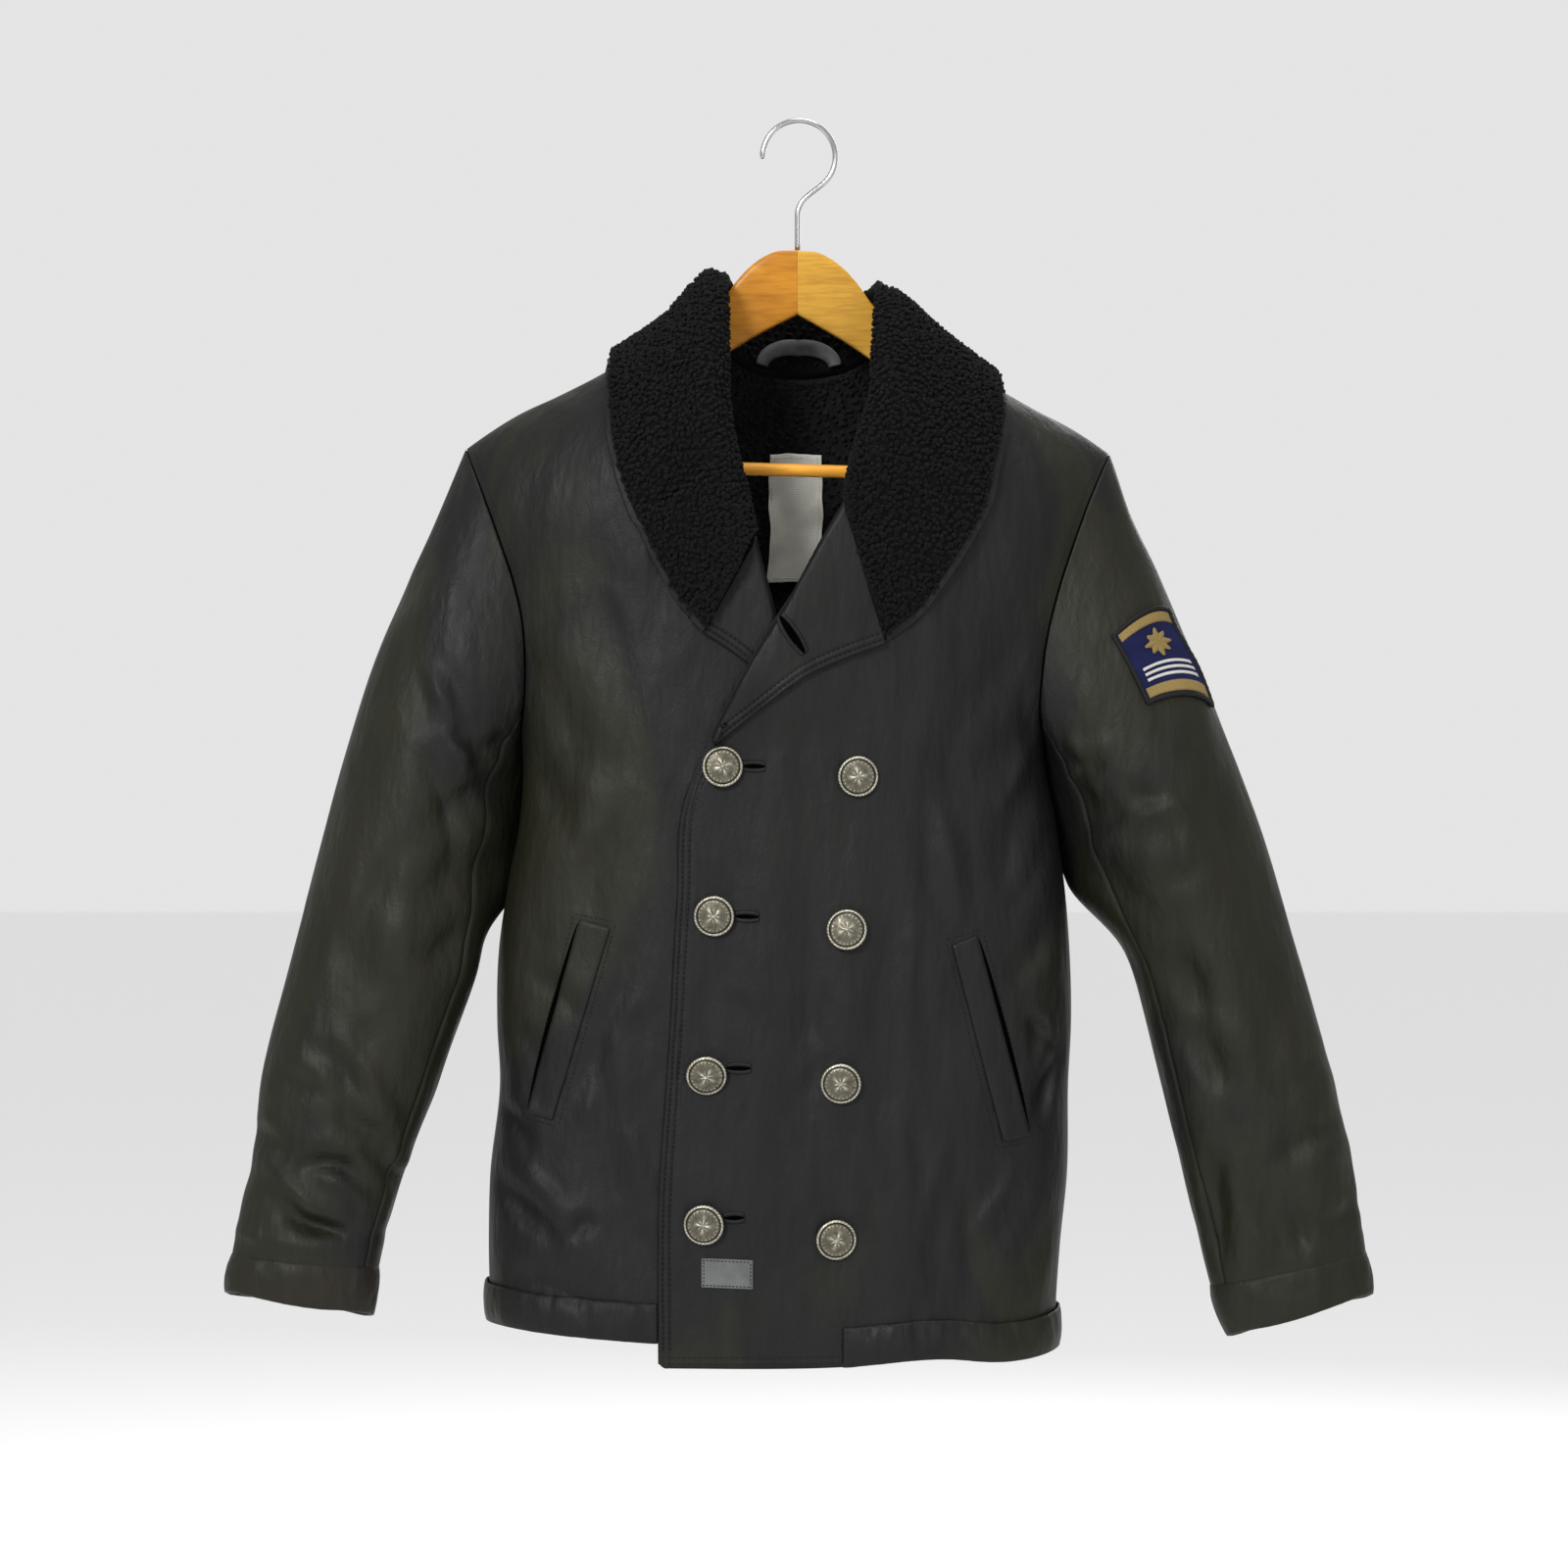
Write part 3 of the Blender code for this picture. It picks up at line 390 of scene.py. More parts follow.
# Creases seen from in front: troughs where the depth is positive and ridges where it is negative.
# Each runs from its start to its end, bowed sideways in the middle, with a soft bank on one side.
CREASES = {
    "front_right": (
        # from across, from height, to across, to height, bow, depth, width
        (-213, -698, -186, -730, 3, 3.2, 7),
        (-214, -745, -160, -792, -6, 3.6, 9),
        (-160, -792, -142, -776, 2, 2.4, 7),
        (-117, -585, -149, -690, 4, 1.6, 9),
        (-206, -640, -178, -668, 3, 2.0, 8),
        (-190, -452, -160, -520, 6, 2.4, 13),
        (-196, -520, -120, -470, -10, -1.8, 20),
        (-150, -300, -120, -440, 8, 1.5, 18),
        (-192, -380, -150, -460, 6, 2.6, 14),
        (-205, -815, -150, -832, 2, 1.5, 8),
        (-110, -640, -116, -830, 5, 1.4, 16),
        (-170, -740, -125, -835, -6, -1.5, 18),
        (-96, -260, -100, -380, 4, 1.4, 12),
        (-150, -560, -120, -480, 4, 1.2, 12),
        (-130, -331, -111, -401, 4, -1.2, 9),
        (-105, -401, -91, -470, -3, -1.2, 8),
        (-148, -708, -116, -622, 3, -1.8, 7),
        (-118, -713, -105, -783, 3, -1.4, 7),
        (-190, -743, -158, -800, 3, -2.0, 6),
        (-136, -655, -128, -760, -4, 1.5, 8),
        (-196, -600, -150, -640, 4, 1.3, 8),
        (-200, -470, -150, -452, 3, 1.4, 6),
    ),
    "front_left": (
        # from across, from height, to across, to height, bow, depth, width
        (164, -634, 166, -664, 2, 3.0, 5),
        (170, -636, 182, -660, -2, 2.6, 5),
        (187, -658, 168, -712, -4, 3.0, 7),
        (180, -560, 150, -610, 3, 2.0, 9),
        (172, -470, 140, -540, -6, 2.6, 13),
        (170, -430, 120, -480, -6, 2.0, 15),
        (160, -330, 128, -420, 6, 1.6, 16),
        (120, -400, 96, -560, -6, 1.3, 17),
        (96, -300, 104, -430, 5, -1.5, 18),
        (10, -470, 4, -700, 4, 1.1, 14),
        (-20, -520, -26, -800, -4, -0.9, 16),
        (64, -520, 56, -760, 5, 1.3, 17),
        (96, -640, 84, -840, -5, 1.5, 15),
        (140, -740, 116, -850, 5, 1.8, 13),
        (176, -770, 150, -836, 4, 2.0, 10),
        (-86, -500, -92, -640, 2, 0.9, 7),
        (4, -600, 8, -650, 2, 0.8, 8),
        (73, -509, 78, -633, 4, -1.2, 6),
        (92, -470, 96, -560, -4, 1.1, 6),
        (100, -486, 112, -575, 4, -1.3, 6),
        (66, -700, 82, -836, 5, -1.6, 8),
        (104, -720, 88, -790, -3, -1.5, 7),
        (155, -735, 122, -790, 4, -2.0, 7),
        (160, -405, 186, -500, -5, 1.8, 7),
        (171, -431, 141, -490, 3, -1.5, 6),
        (178, -500, 150, -560, 4, 1.4, 7),
        (120, -760, 112, -840, 3, 1.6, 8),
        (-50, -620, -20, -655, 3, 0.8, 6),
        (8, -690, 24, -660, 2, 0.8, 5),
    ),
    "back": (
        # from across, from height, to across, to height, bow, depth, width
        (-180, -470, -130, -540, 6, 2.6, 14),
        (-190, -380, -140, -470, -6, 2.2, 14),
        (165, -470, 118, -545, -6, 2.6, 14),
        (172, -390, 130, -470, 6, 2.0, 14),
        (-60, -250, -66, -520, 8, 1.4, 22),
        (48, -260, 60, -500, -8, -1.5, 22),
        (-120, -560, -104, -830, 8, 1.7, 20),
        (-10, -520, 6, -840, -8, 1.3, 24),
        (110, -560, 96, -830, 7, 1.8, 18),
        (-205, -700, -160, -770, 4, 2.6, 9),
        (184, -690, 140, -770, -4, 2.6, 9),
        (-190, -800, -130, -835, 3, 1.8, 9),
        (170, -800, 120, -845, -3, 1.7, 9),
    ),
    "sleeve_right": (
        # from across, from height, to across, to height, bow, depth, width
        (-306, -728, -280, -758, 3, 3.4, 7),
        (-322, -700, -284, -722, -3, 2.6, 8),
        (-352, -738, -300, -752, 4, 3.0, 8),
        (-372, -762, -320, -790, -4, 3.4, 9),
        (-388, -716, -360, -734, 3, 2.4, 8),
        (-234, -566, -270, -600, 5, 2.4, 12),
        (-226, -520, -292, -560, 8, 2.2, 16),
        (-215, -460, -262, -500, 6, 2.8, 13),
        (-205, -440, -232, -452, 2, 2.4, 7),
        (-340, -560, -300, -640, 8, 1.7, 18),
        (-286, -330, -262, -430, 6, 1.8, 18),
        (-370, -680, -330, -694, 3, 1.8, 9),
        (-300, -640, -318, -715, -5, 1.8, 12),
        (-264, -386, -247, -440, 5, -1.8, 7),
        (-250, -436, -216, -516, 6, -2.2, 7),
        (-262, -452, -240, -530, 5, 2.2, 7),
        (-277, -510, -312, -600, -6, 1.9, 13),
        (-325, -645, -285, -716, 4, -1.9, 7),
        (-345, -655, -296, -700, 4, 1.6, 8),
        (-379, -733, -339, -786, 4, -1.8, 7),
        (-340, -742, -302, -770, 3, -1.8, 6),
        (-352, -780, -312, -794, 2, 1.8, 5),
        (-214, -452, -246, -446, 2, -1.8, 5),
    ),
    "sleeve_left": (
        # from across, from height, to across, to height, bow, depth, width
        (296, -734, 306, -822, -5, 2.8, 9),
        (340, -700, 352, -800, 6, 1.8, 13),
        (384, -712, 330, -742, -4, 2.4, 9),
        (262, -640, 300, -684, 5, 2.6, 11),
        (250, -590, 292, -636, 5, 2.2, 13),
        (214, -524, 262, -572, -6, 2.4, 15),
        (196, -470, 246, -512, -5, 2.8, 13),
        (186, -450, 214, -462, -2, 2.4, 7),
        (330, -560, 296, -470, 8, 1.7, 18),
        (276, -330, 250, -440, -6, 1.7, 18),
        (392, -778, 340, -796, 3, 2.2, 9),
        (372, -660, 336, -690, 3, 1.8, 10),
        (205, -516, 276, -488, 5, -1.8, 7),
        (228, -470, 268, -508, 4, 1.7, 7),
        (236, -560, 290, -530, 4, 1.5, 8),
        (270, -560, 300, -690, -6, 1.5, 12),
        (300, -600, 322, -700, 5, -1.3, 9),
        (344, -760, 356, -812, 3, 1.6, 7),
        (312, -770, 330, -812, 3, -1.6, 7),
        (190, -440, 216, -500, 4, -1.7, 6),
    ),
}


CREASE_DEEP = 2.5
CREASE_WIDE = 0.9


def creased(points, table, seed, sway=1.0):
    """How far a surface is pushed in or out at points: the creases of the table, each fading at its
    ends, with an uneven depth, a slight wander and a bank beside it, and a gentle sway of the cloth."""
    flat = points[..., [0, 2]]
    wander = 3.0 * cloud(flat, 70, seed + 1)
    total = np.zeros(flat.shape[:-1])
    for x0, z0, x1, z1, bow, depth, width in table:
        start, run = np.array([x0, z0]), np.array([x1 - x0, z1 - z0])
        length = np.hypot(*run)
        along = (flat - start) @ run / length**2
        held = np.clip(along, 0, 1)
        side = (flat - start) @ np.array([-run[1], run[0]]) / length
        off = side - bow * 4 * held * (1 - held) - wander * 0.5
        beyond = (along - held) * length
        fade = np.sin(math.pi * np.clip(along * 0.9 + 0.05, 0, 1)) ** 0.7
        width = width * CREASE_WIDE
        trough = np.exp(-((off / width) ** 2) - (beyond / width) ** 2)
        bank = np.exp(-(((off - 2.0 * width) / (1.3 * width)) ** 2) - (beyond / width) ** 2)
        uneven = 0.75 + 0.25 * np.sin(along * 5.0 + x0)
        total += -depth * CREASE_DEEP * uneven * fade * (trough - 0.4 * bank)
    hang = points * np.array([1.0, 1.0, 0.3])
    return total + sway * cloud(hang, 95, seed + 2, 3)


def shoulder(x):
    """The height of the shoulder line, lower on the wearer's left because the hanger hangs tilted."""
    return column(SHOULDER, 0, 1, np.abs(x)) - TILT * np.asarray(x, float)


def body_depth(x, z, side):
    """How far the body reaches from the hanger's plane at x, z: forward where side is -1, back at 1.

    Across, the depth follows a squared ellipse; near the shoulder line it is rounded to nothing.
    """
    left = column(BODY, 0, 1, z)
    right = column(BODY, 0, 2, z)
    depth = column(BODY, 0, 3 if side < 0 else 4, z)
    square = column(BODY, 0, 5, z)
    across = np.clip(np.abs((2 * x - left - right) / (right - left)), 0, 1)
    section = (1 - across**square) ** (1 / square)
    drop = np.clip((shoulder(x) - z) / SHOULDER_ROUND, 0, 1)
    return depth * section * np.sqrt(np.clip(1 - (1 - drop) ** 2, 0, 1))


def shoulder_point(side):
    """The height at which the armhole seam meets the shoulder line on that side."""
    return shoulder(ARMHOLE[-1][SIDE_COLUMN[side]])


def armhole(rise, side):
    """Across and height of the armhole seam on that side, where rise goes from armpit to shoulder."""
    x = column(ARMHOLE, 0, SIDE_COLUMN[side], rise)
    low = ARMPIT_HEIGHT[side]
    return x, low + (shoulder_point(side) - low) * np.asarray(rise, float)


def outer_side(z, side):
    """Where a panel ends across: the side seam, and above the armpit the armhole seam."""
    low = ARMPIT_HEIGHT[side]
    seam = column(BODY, 0, SIDE_COLUMN[side], z)
    rise = np.clip((z - low) / (shoulder_point(side) - low), 0, 1)
    return np.where(z < low, seam, armhole(rise, side)[0])


def front_lift(x, z):
    """How far the left front stands out from the body: over the right front, and more at its roll."""
    over = OVERLAP_LIFT * (1 - ease(75, 120, x))
    roll = (ROLL_LIFT - OVERLAP_LIFT) * ease(-450, -395, z) * (1 - ease(12, 75, x))
    return over + roll


PANEL_SEEDS = {"front_right": 11, "front_left": 23, "back": 37}


def panel_push(points, piece):
    """The creases of a body panel, which die out towards its side seams, its shoulder and its hem."""
    x, z = points[..., 0], points[..., 2]
    side = -1 if piece != "back" else 1
    depth = body_depth(x, z, side)
    held = ease(8, 60, depth) * (0.35 + 0.65 * ease(-862, -820, z))
    push = creased(points, CREASES[piece], PANEL_SEEDS[piece], 1.3) * held
    under_collar = ease(-400, -350, z) * (1 - ease(140, 165, np.abs(x)))
    return np.where(under_collar > 0, np.minimum(push, 1.0 + 6 * (1 - under_collar)), push)


def front_surface(x, z, side):
    """The outer surface of a front, creases and all: its depth at any place across and up."""
    x, z = np.broadcast_arrays(np.asarray(x, float), np.asarray(z, float))
    lift = front_lift(x, z) if side == "left" else 0.0
    smooth_face = np.stack([x, -(body_depth(x, z, -1) + lift + SEAM / 2), z], axis=-1)
    push = panel_push(smooth_face, f"front_{side}")
    if side == "right":
        push = np.minimum(push, 1.2 + 3 * (1 - ease(-120, -100, x)))
    return smooth_face + np.array([0, -1, 0]) * push[..., None]


def back_surface(x, z):
    """The outer surface of the back, creases and all."""
    x, z = np.broadcast_arrays(np.asarray(x, float), np.asarray(z, float))
    smooth_face = np.stack([x, body_depth(x, z, 1) + SEAM / 2, z], axis=-1)
    return smooth_face + np.array([0, 1, 0]) * panel_push(smooth_face, "back")[..., None]


def back_top(x):
    """The top of the back: the shoulder seams and, between them, the neckline."""
    return np.where(np.abs(x) < NECKLINE[-1][0], column(NECKLINE, 0, 1, x), shoulder(x))


LOW_ROWS = 122
HIGH_ROWS = 66


def row_heights(bottom, armpit, top):
    """Heights of the rows of a panel: even up to the armpit, then closing up towards both ends."""
    low = np.linspace(bottom, armpit, LOW_ROWS + 1)
    turn = np.linspace(0, math.pi, HIGH_ROWS + 1)[1:]
    return np.concatenate([low, armpit + (top - armpit) * (1 - np.cos(turn)) / 2])


def spread(start_z, end_z, start_x, end_x, share, hem, top):
    """A panel's points across and up: each row runs from its start to its end, and its height is
    the same share of the way from hem to top that it is at those two ends, blended between them."""
    low_start, low_end = column(hem, 0, 1, start_x), column(hem, 0, 1, end_x)
    start = (start_z - low_start) / (top(start_x) - low_start)
    end = (end_z - low_end) / (top(end_x) - low_end)
    x = start_x[:, None] * (1 - share) + end_x[:, None] * share
    rise = start[:, None] * (1 - share) + end[:, None] * share
    low = column(hem, 0, 1, x)
    return x, low + np.clip(rise, 0, 1) * (top(x) - low)


# How far the rows of points nearest a free edge lie from it, close enough to turn it over and to
# press its two rows of stitches in.
EDGE_ROWS = np.array([22, 18, 15, 12.5, 11, 10, 9.2, 8.5, 7.8, 7, 6, 5, 4.3, 3.6, 2.9, 2.2, 1.4, 0.7, 0.0])
STITCH_ROWS = (3.6, 8.5)
# The height at which each front edge turns into a lapel.
BREAK = {"right": -400.0, "left": -445.0}


def pressed(far):
    """The relief of a stitched edge by distance from it: turned over at the edge, puffed between the
    rows of stitches and dented along them."""
    turned = -1.1 * np.exp(-((far / 0.9) ** 2))
    dents = -0.55 * hump(STITCH_ROWS[0], 0.9, far) - 0.5 * hump(STITCH_ROWS[1], 0.9, far)
    return turned + dents + 0.45 * hump(6.0, 1.8, far) + 0.2 * hump(2.0, 1.0, far)


def front_grid(side, columns=76):
    """A front panel's points, row by row from the hem, from the viewer's left to right, with its
    front edge and its lower edge pressed and stitched."""
    edge, hem = EDGES[side], HEMS[side]
    seam_x = outer_side(hem[0][1] if side == "right" else hem[-1][1], side)
    outer_z = row_heights(column(hem, 0, 1, seam_x), ARMPIT_HEIGHT[side], armhole(1, side)[1])
    outer_x = outer_side(outer_z, side)
    top_x = edge[-1][1]
    inner_z = row_heights(column(hem, 0, 1, edge[0][1]), ARMPIT_HEIGHT[side], shoulder(top_x))
    inner_x = column(edge, 0, 1, inner_z)
    inner_x[-1] = top_x
    width = np.abs(inner_x - outer_x)[:, None]
    turn = 1 - np.cos(np.linspace(0, math.pi / 2, columns))
    reach = 1 - EDGE_ROWS[0] / width
    share = np.concatenate([turn[None, :-1] * reach, 1 - EDGE_ROWS[None, :] / width], axis=1)
    x, z = spread(outer_z, inner_z, outer_x, inner_x, share, hem, shoulder)
    if side == "left":
        low = np.abs(x - inner_x[:, None])
        z = z + 3.0 * (1 - ease(0, 5, low)) * (1 - ease(-880, -872, z))
    grid = front_surface(x, z, side)
    far = (1 - share) * width
    free = 1 - ease(BREAK[side] - 30, BREAK[side], z)
    grid[..., 1] -= pressed(far) * free
    return grid if side == "right" else grid[:, ::-1]


def back_grid(columns=92):
    """The back's points, row by row from the hem, from the viewer's right to left."""
    ends = []
    for side, corner in (("left", HEM_BACK[-1]), ("right", HEM_BACK[0])):
        heights = row_heights(corner[1], ARMPIT_HEIGHT[side], armhole(1, side)[1])
        ends += [heights, outer_side(heights, side)]
    share = ((1 - np.cos(np.linspace(0, math.pi, columns))) / 2)[None, :]
    x, z = spread(ends[0], ends[2], ends[1], ends[3], share, HEM_BACK, back_top)
    return back_surface(x, z)


def sleeve_grid(side, stations, angles):
    """A sleeve's points at these stations and angles. Each ring is an ellipse between the outer and
    inner sides; near the armhole it takes on the shape of the armhole seam."""
    table = SLEEVES[side]
    outer_x, outer_z, inner_x, inner_z, depth, forward = (
        column(table, 0, k, stations)[:, None] for k in range(1, 7)
    )
    turn = np.radians(angles)[None, :]

    def ring(ox, oz, ix, iz, deep, swing):
        x = (ox + ix) / 2 + (ox - ix) / 2 * np.cos(turn)
        z = (oz + iz) / 2 + (oz - iz) / 2 * np.cos(turn)
        return np.stack([x, -swing - deep / 2 * np.sin(turn), z], axis=-1)

    grid = ring(outer_x, outer_z, inner_x, inner_z, depth, forward)
    seam_x, seam_z = armhole((1 + np.cos(turn)) / 2, side)
    front = -(body_depth(seam_x, seam_z, -1) + SEAM / 2)
    back = body_depth(seam_x, seam_z, 1) + SEAM / 2
    if side == "left":
        front = front - front_lift(seam_x, seam_z)
    seam = np.stack([seam_x, np.where(np.sin(turn) > 0, front, back), seam_z], axis=-1)
    change = seam - ring(*table[0][1:])
    stays = 1 - ease(0, 3.2, stations)[:, None, None]
    away = np.array([-1.1 if side == "right" else 1.1, 0, -0.8])
    return grid + change * stays + away


# Soft rings of slack round each sleeve near its cuff and behind: troughs where the depth is positive
# and ridges where it is negative.
SLACK = {
    "right": (
        # station, middle angle, reach, depth, width
        (8.55, 60, 70, -2.0, 0.16),
        (8.2, 100, 50, 2.2, 0.14),
        (7.6, 40, 60, 1.8, 0.2),
        (7.2, -80, 60, 2.4, 0.25),
        (6.6, -120, 60, -1.8, 0.3),
        (5.8, -60, 50, 2.2, 0.3),
        (5.0, -100, 60, 2.4, 0.3),
        (4.2, -70, 60, 1.8, 0.35),
        (2.8, -90, 60, 2.0, 0.35),
        (8.4, -100, 80, 2.0, 0.16),
    ),
    "left": (
        # station, middle angle, reach, depth, width
        (8.6, 90, 60, -1.6, 0.16),
        (8.1, 40, 50, 1.8, 0.18),
        (7.3, -90, 60, 2.2, 0.25),
        (6.5, -60, 60, 2.2, 0.3),
        (5.6, -110, 50, -1.8, 0.3),
        (4.9, -80, 60, 2.4, 0.3),
        (4.0, -100, 60, 1.8, 0.35),
        (2.6, -80, 60, 2.0, 0.35),
        (8.3, -80, 80, 2.0, 0.16),
    ),
}


# The loose cloth under each arm, which falls against the body behind the arm's middle: how far it
# reaches inwards, and the heights that it lies between.
LOBE = {"right": (25.0, -590, -424), "left": (20.0, -592, -432)}
LOBE_ANGLE = 208.0
LOBE_WIDE = 34.0


def sleeve_surface(side, stations, angles):
    """The outer surface of a sleeve, creases and all, pushed along the normals of its smooth rings.
    The creases of the front are those seen from in front; slack rings go all round."""
    stations = np.asarray(stations, float)
    angles = np.asarray(angles, float)
    grid = sleeve_grid(side, stations, angles)
    way = -1 if side == "right" else 1
    around = sleeve_grid(side, stations, angles + 1.0) - sleeve_grid(side, stations, angles - 1.0)
    along = sleeve_grid(side, stations + 0.02, angles) - sleeve_grid(side, stations - 0.02, angles)
    out = unit(np.cross(around, along)) * way
    centre = (sleeve_grid(side, stations, angles + 180.0) + grid) / 2
    out *= np.sign(np.sum(out * (grid - centre), axis=-1, keepdims=True))
    front = ease(-0.15, 0.35, np.sin(np.radians(angles)))[None, :]
    push = creased(grid, CREASES[f"sleeve_{side}"], 51 if side == "right" else 67) * front
    push = push + creased(grid, (), 81, 1.1) * (1 - front)
    for station, middle, reach, depth, width in SLACK[side]:
        apart = (angles - middle + 180) % 360 - 180
        lean = station + 0.15 * np.sin(np.radians(apart * 1.7))
        push = push - depth * hump(0, reach, apart)[None, :] * np.exp(
            -(((stations[:, None] - lean[None, :]) / width) ** 2)
        )
    held = ease(0.0, 0.7, stations) * (1 - 0.75 * ease(8.4, 8.95, stations))
    grid = grid + out * (push * held[:, None])[..., None]
    reach, low, high = LOBE[side]
    fallen = ease(low, low + 50, grid[..., 2]) * (1 - ease(high - 50, high, grid[..., 2]))
    apart = (angles - LOBE_ANGLE + 180) % 360 - 180
    grid[..., 0] -= way * reach * fallen * hump(0, LOBE_WIDE, apart)[None, :]
    return grid


def clear_of_body(points, gap):
    """Points moved out, where they must be, to stand at least the gap off the body's surface."""
    x, y, z = points[..., 0], points[..., 1], points[..., 2]
    width = column(BODY, 0, 3, np.minimum(z, -150))
    half = np.where(y < 0, body_depth(x, np.minimum(z, shoulder(x) - SHOULDER_ROUND), -1), width)
    half = np.maximum(half, 1)
    centre = np.minimum(z, shoulder(x) - SHOULDER_ROUND)
    rise = (z - centre) / SHOULDER_ROUND
    reach = np.sqrt((y / half) ** 2 + rise**2)
    lift = np.where(x > -80, front_lift(x, z), 0.0) * (y < 0)
    scale = np.maximum(1, (1 + (gap + lift) / half) / np.maximum(reach, 0.2))
    return np.stack([x, y * scale, centre + (z - centre) * scale], axis=-1)


def collar_grid(side, along, across):
    """The collar's upper side: along runs from the middle of the back to the front end, across
    from the foot (0) over the roll (0.34) to the outer edge (1)."""
    rows = np.array(COLLARS[side], float)
    points = smooth(np.linspace(0, 1, len(rows)), rows, along)
    foot, roll, edge = points[:, 0:3], points[:, 3:6], points[:, 6:9]
    crest = clear_of_body(roll + 0.14 * (edge - roll) + np.array([0, 0, 1.5]), 13)
    middle = clear_of_body(roll + 0.52 * (edge - roll), 12)
    edge = clear_of_body(edge, 7.6)
    shape = smooth((0, 0.34, 0.46, 0.7, 1), np.stack([foot, roll, crest, middle, edge]), across)
    return shape.transpose(1, 0, 2)


def lapel_lift(near_fleece, share):
    """How far a lapel's upper side stands off its front: its thickness, more towards the fleece, and
    an arch from its roll to its edge."""
    return LAPEL + 0.5 + 2.0 * near_fleece + 1.4 * np.sin(math.pi * share**0.6)


def lapel_width(side, stations):
    """How wide a lapel is from its roll to its edge."""
    roll_x, roll_z, edge_x, edge_z = (column(LAPELS[side], 0, k, stations) for k in range(1, 5))
    return np.hypot(roll_x - edge_x, roll_z - edge_z)


def lapel_grid(side, stations, shares):
    """A lapel's outer side on its front: rows from the end of the fleece to the break, rounded out
    over its roll and sinking to its lower edge."""
    table = LAPELS[side]
    roll_x, roll_z, edge_x, edge_z = (column(table, 0, k, stations)[:, None] for k in range(1, 5))
    x = roll_x * (1 - shares) + edge_x * shares
    z = roll_z * (1 - shares) + edge_z * shares
    surface = front_surface(x, z, side)
    last = table[-1][0]
    near_fleece = 1 - np.asarray(stations)[:, None] / last
    return surface + np.array([0, -1, 0]) * lapel_lift(near_fleece, shares)[..., None]


def out_normals(grid, ring=False):
    """Unit normals of a grid of points, which faces out where columns by rows turn outwards."""
    if ring:
        across = np.roll(grid, -1, axis=1) - np.roll(grid, 1, axis=1)
    else:
        across = np.gradient(grid, axis=1)
    up = np.gradient(grid, axis=0)
    return unit(np.cross(across, up))


def moved_out(grid, distance, ring=False):
    """A grid with each of its points moved along its normal by the distance."""
    return grid + out_normals(grid, ring) * distance


def between(values, rows, columns):
    """The values of a grid at fractional rows and columns, each blended from the four around it."""
    rows = np.clip(rows, 0, values.shape[0] - 1.001)
    columns = np.clip(columns, 0, values.shape[1] - 1.001)
    low, left = rows.astype(int), columns.astype(int)
    up, across = (rows - low)[..., None], (columns - left)[..., None]
    under = values[low, left] * (1 - across) + values[low, left + 1] * across
    over = values[low + 1, left] * (1 - across) + values[low + 1, left + 1] * across
    return under * (1 - up) + over * up


def mesh_of(name, points, faces, finish, uv=None):
    """A mesh object from points in millimetres and arrays of faces, one array for each number of
    corners, with a map of its own where one is given."""
    mesh = bpy.data.meshes.new(name)
    mesh.vertices.add(len(points))
    mesh.vertices.foreach_set("co", (np.asarray(points, float) * MM).astype(np.float32).ravel())
    corners = np.concatenate([block.ravel() for block in faces]).astype(np.int32)
    sizes = np.concatenate([np.full(len(block), block.shape[1]) for block in faces])
    mesh.loops.add(len(corners))
    mesh.loops.foreach_set("vertex_index", corners)
    mesh.polygons.add(len(sizes))
    mesh.polygons.foreach_set("loop_start", (np.cumsum(sizes) - sizes).astype(np.int32))
    mesh.update(calc_edges=True)
    if uv is not None:
        layer = mesh.uv_layers.new(name="sewn")
        layer.data.foreach_set("uv", (np.asarray(uv)[corners] * MM).astype(np.float32).ravel())
    mesh.shade_smooth()
    mesh.materials.append(finish)
    made = bpy.data.objects.new(name, mesh)
    bpy.context.collection.objects.link(made)
    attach(made, "root")
    return made


def grid_faces(index, ring=False):
    """Quads over a grid of point numbers, turned outwards as out_normals is."""
    here = index if ring else index[:, :-1]
    right = np.roll(index, -1, axis=1) if ring else index[:, 1:]
    return np.stack([here[:-1], right[:-1], right[1:], here[1:]], axis=-1).reshape(-1, 4)


def tube_faces(index):
    """Quads round tubes and a flat end at each end of them: index is tubes by rings by corners."""
    right = np.roll(index, -1, axis=2)
    quads = np.stack([index[:, :-1], right[:, :-1], right[:, 1:], index[:, 1:]], axis=-1).reshape(-1, 4)
    return [quads, np.concatenate([index[:, 0, ::-1], index[:, -1]])]


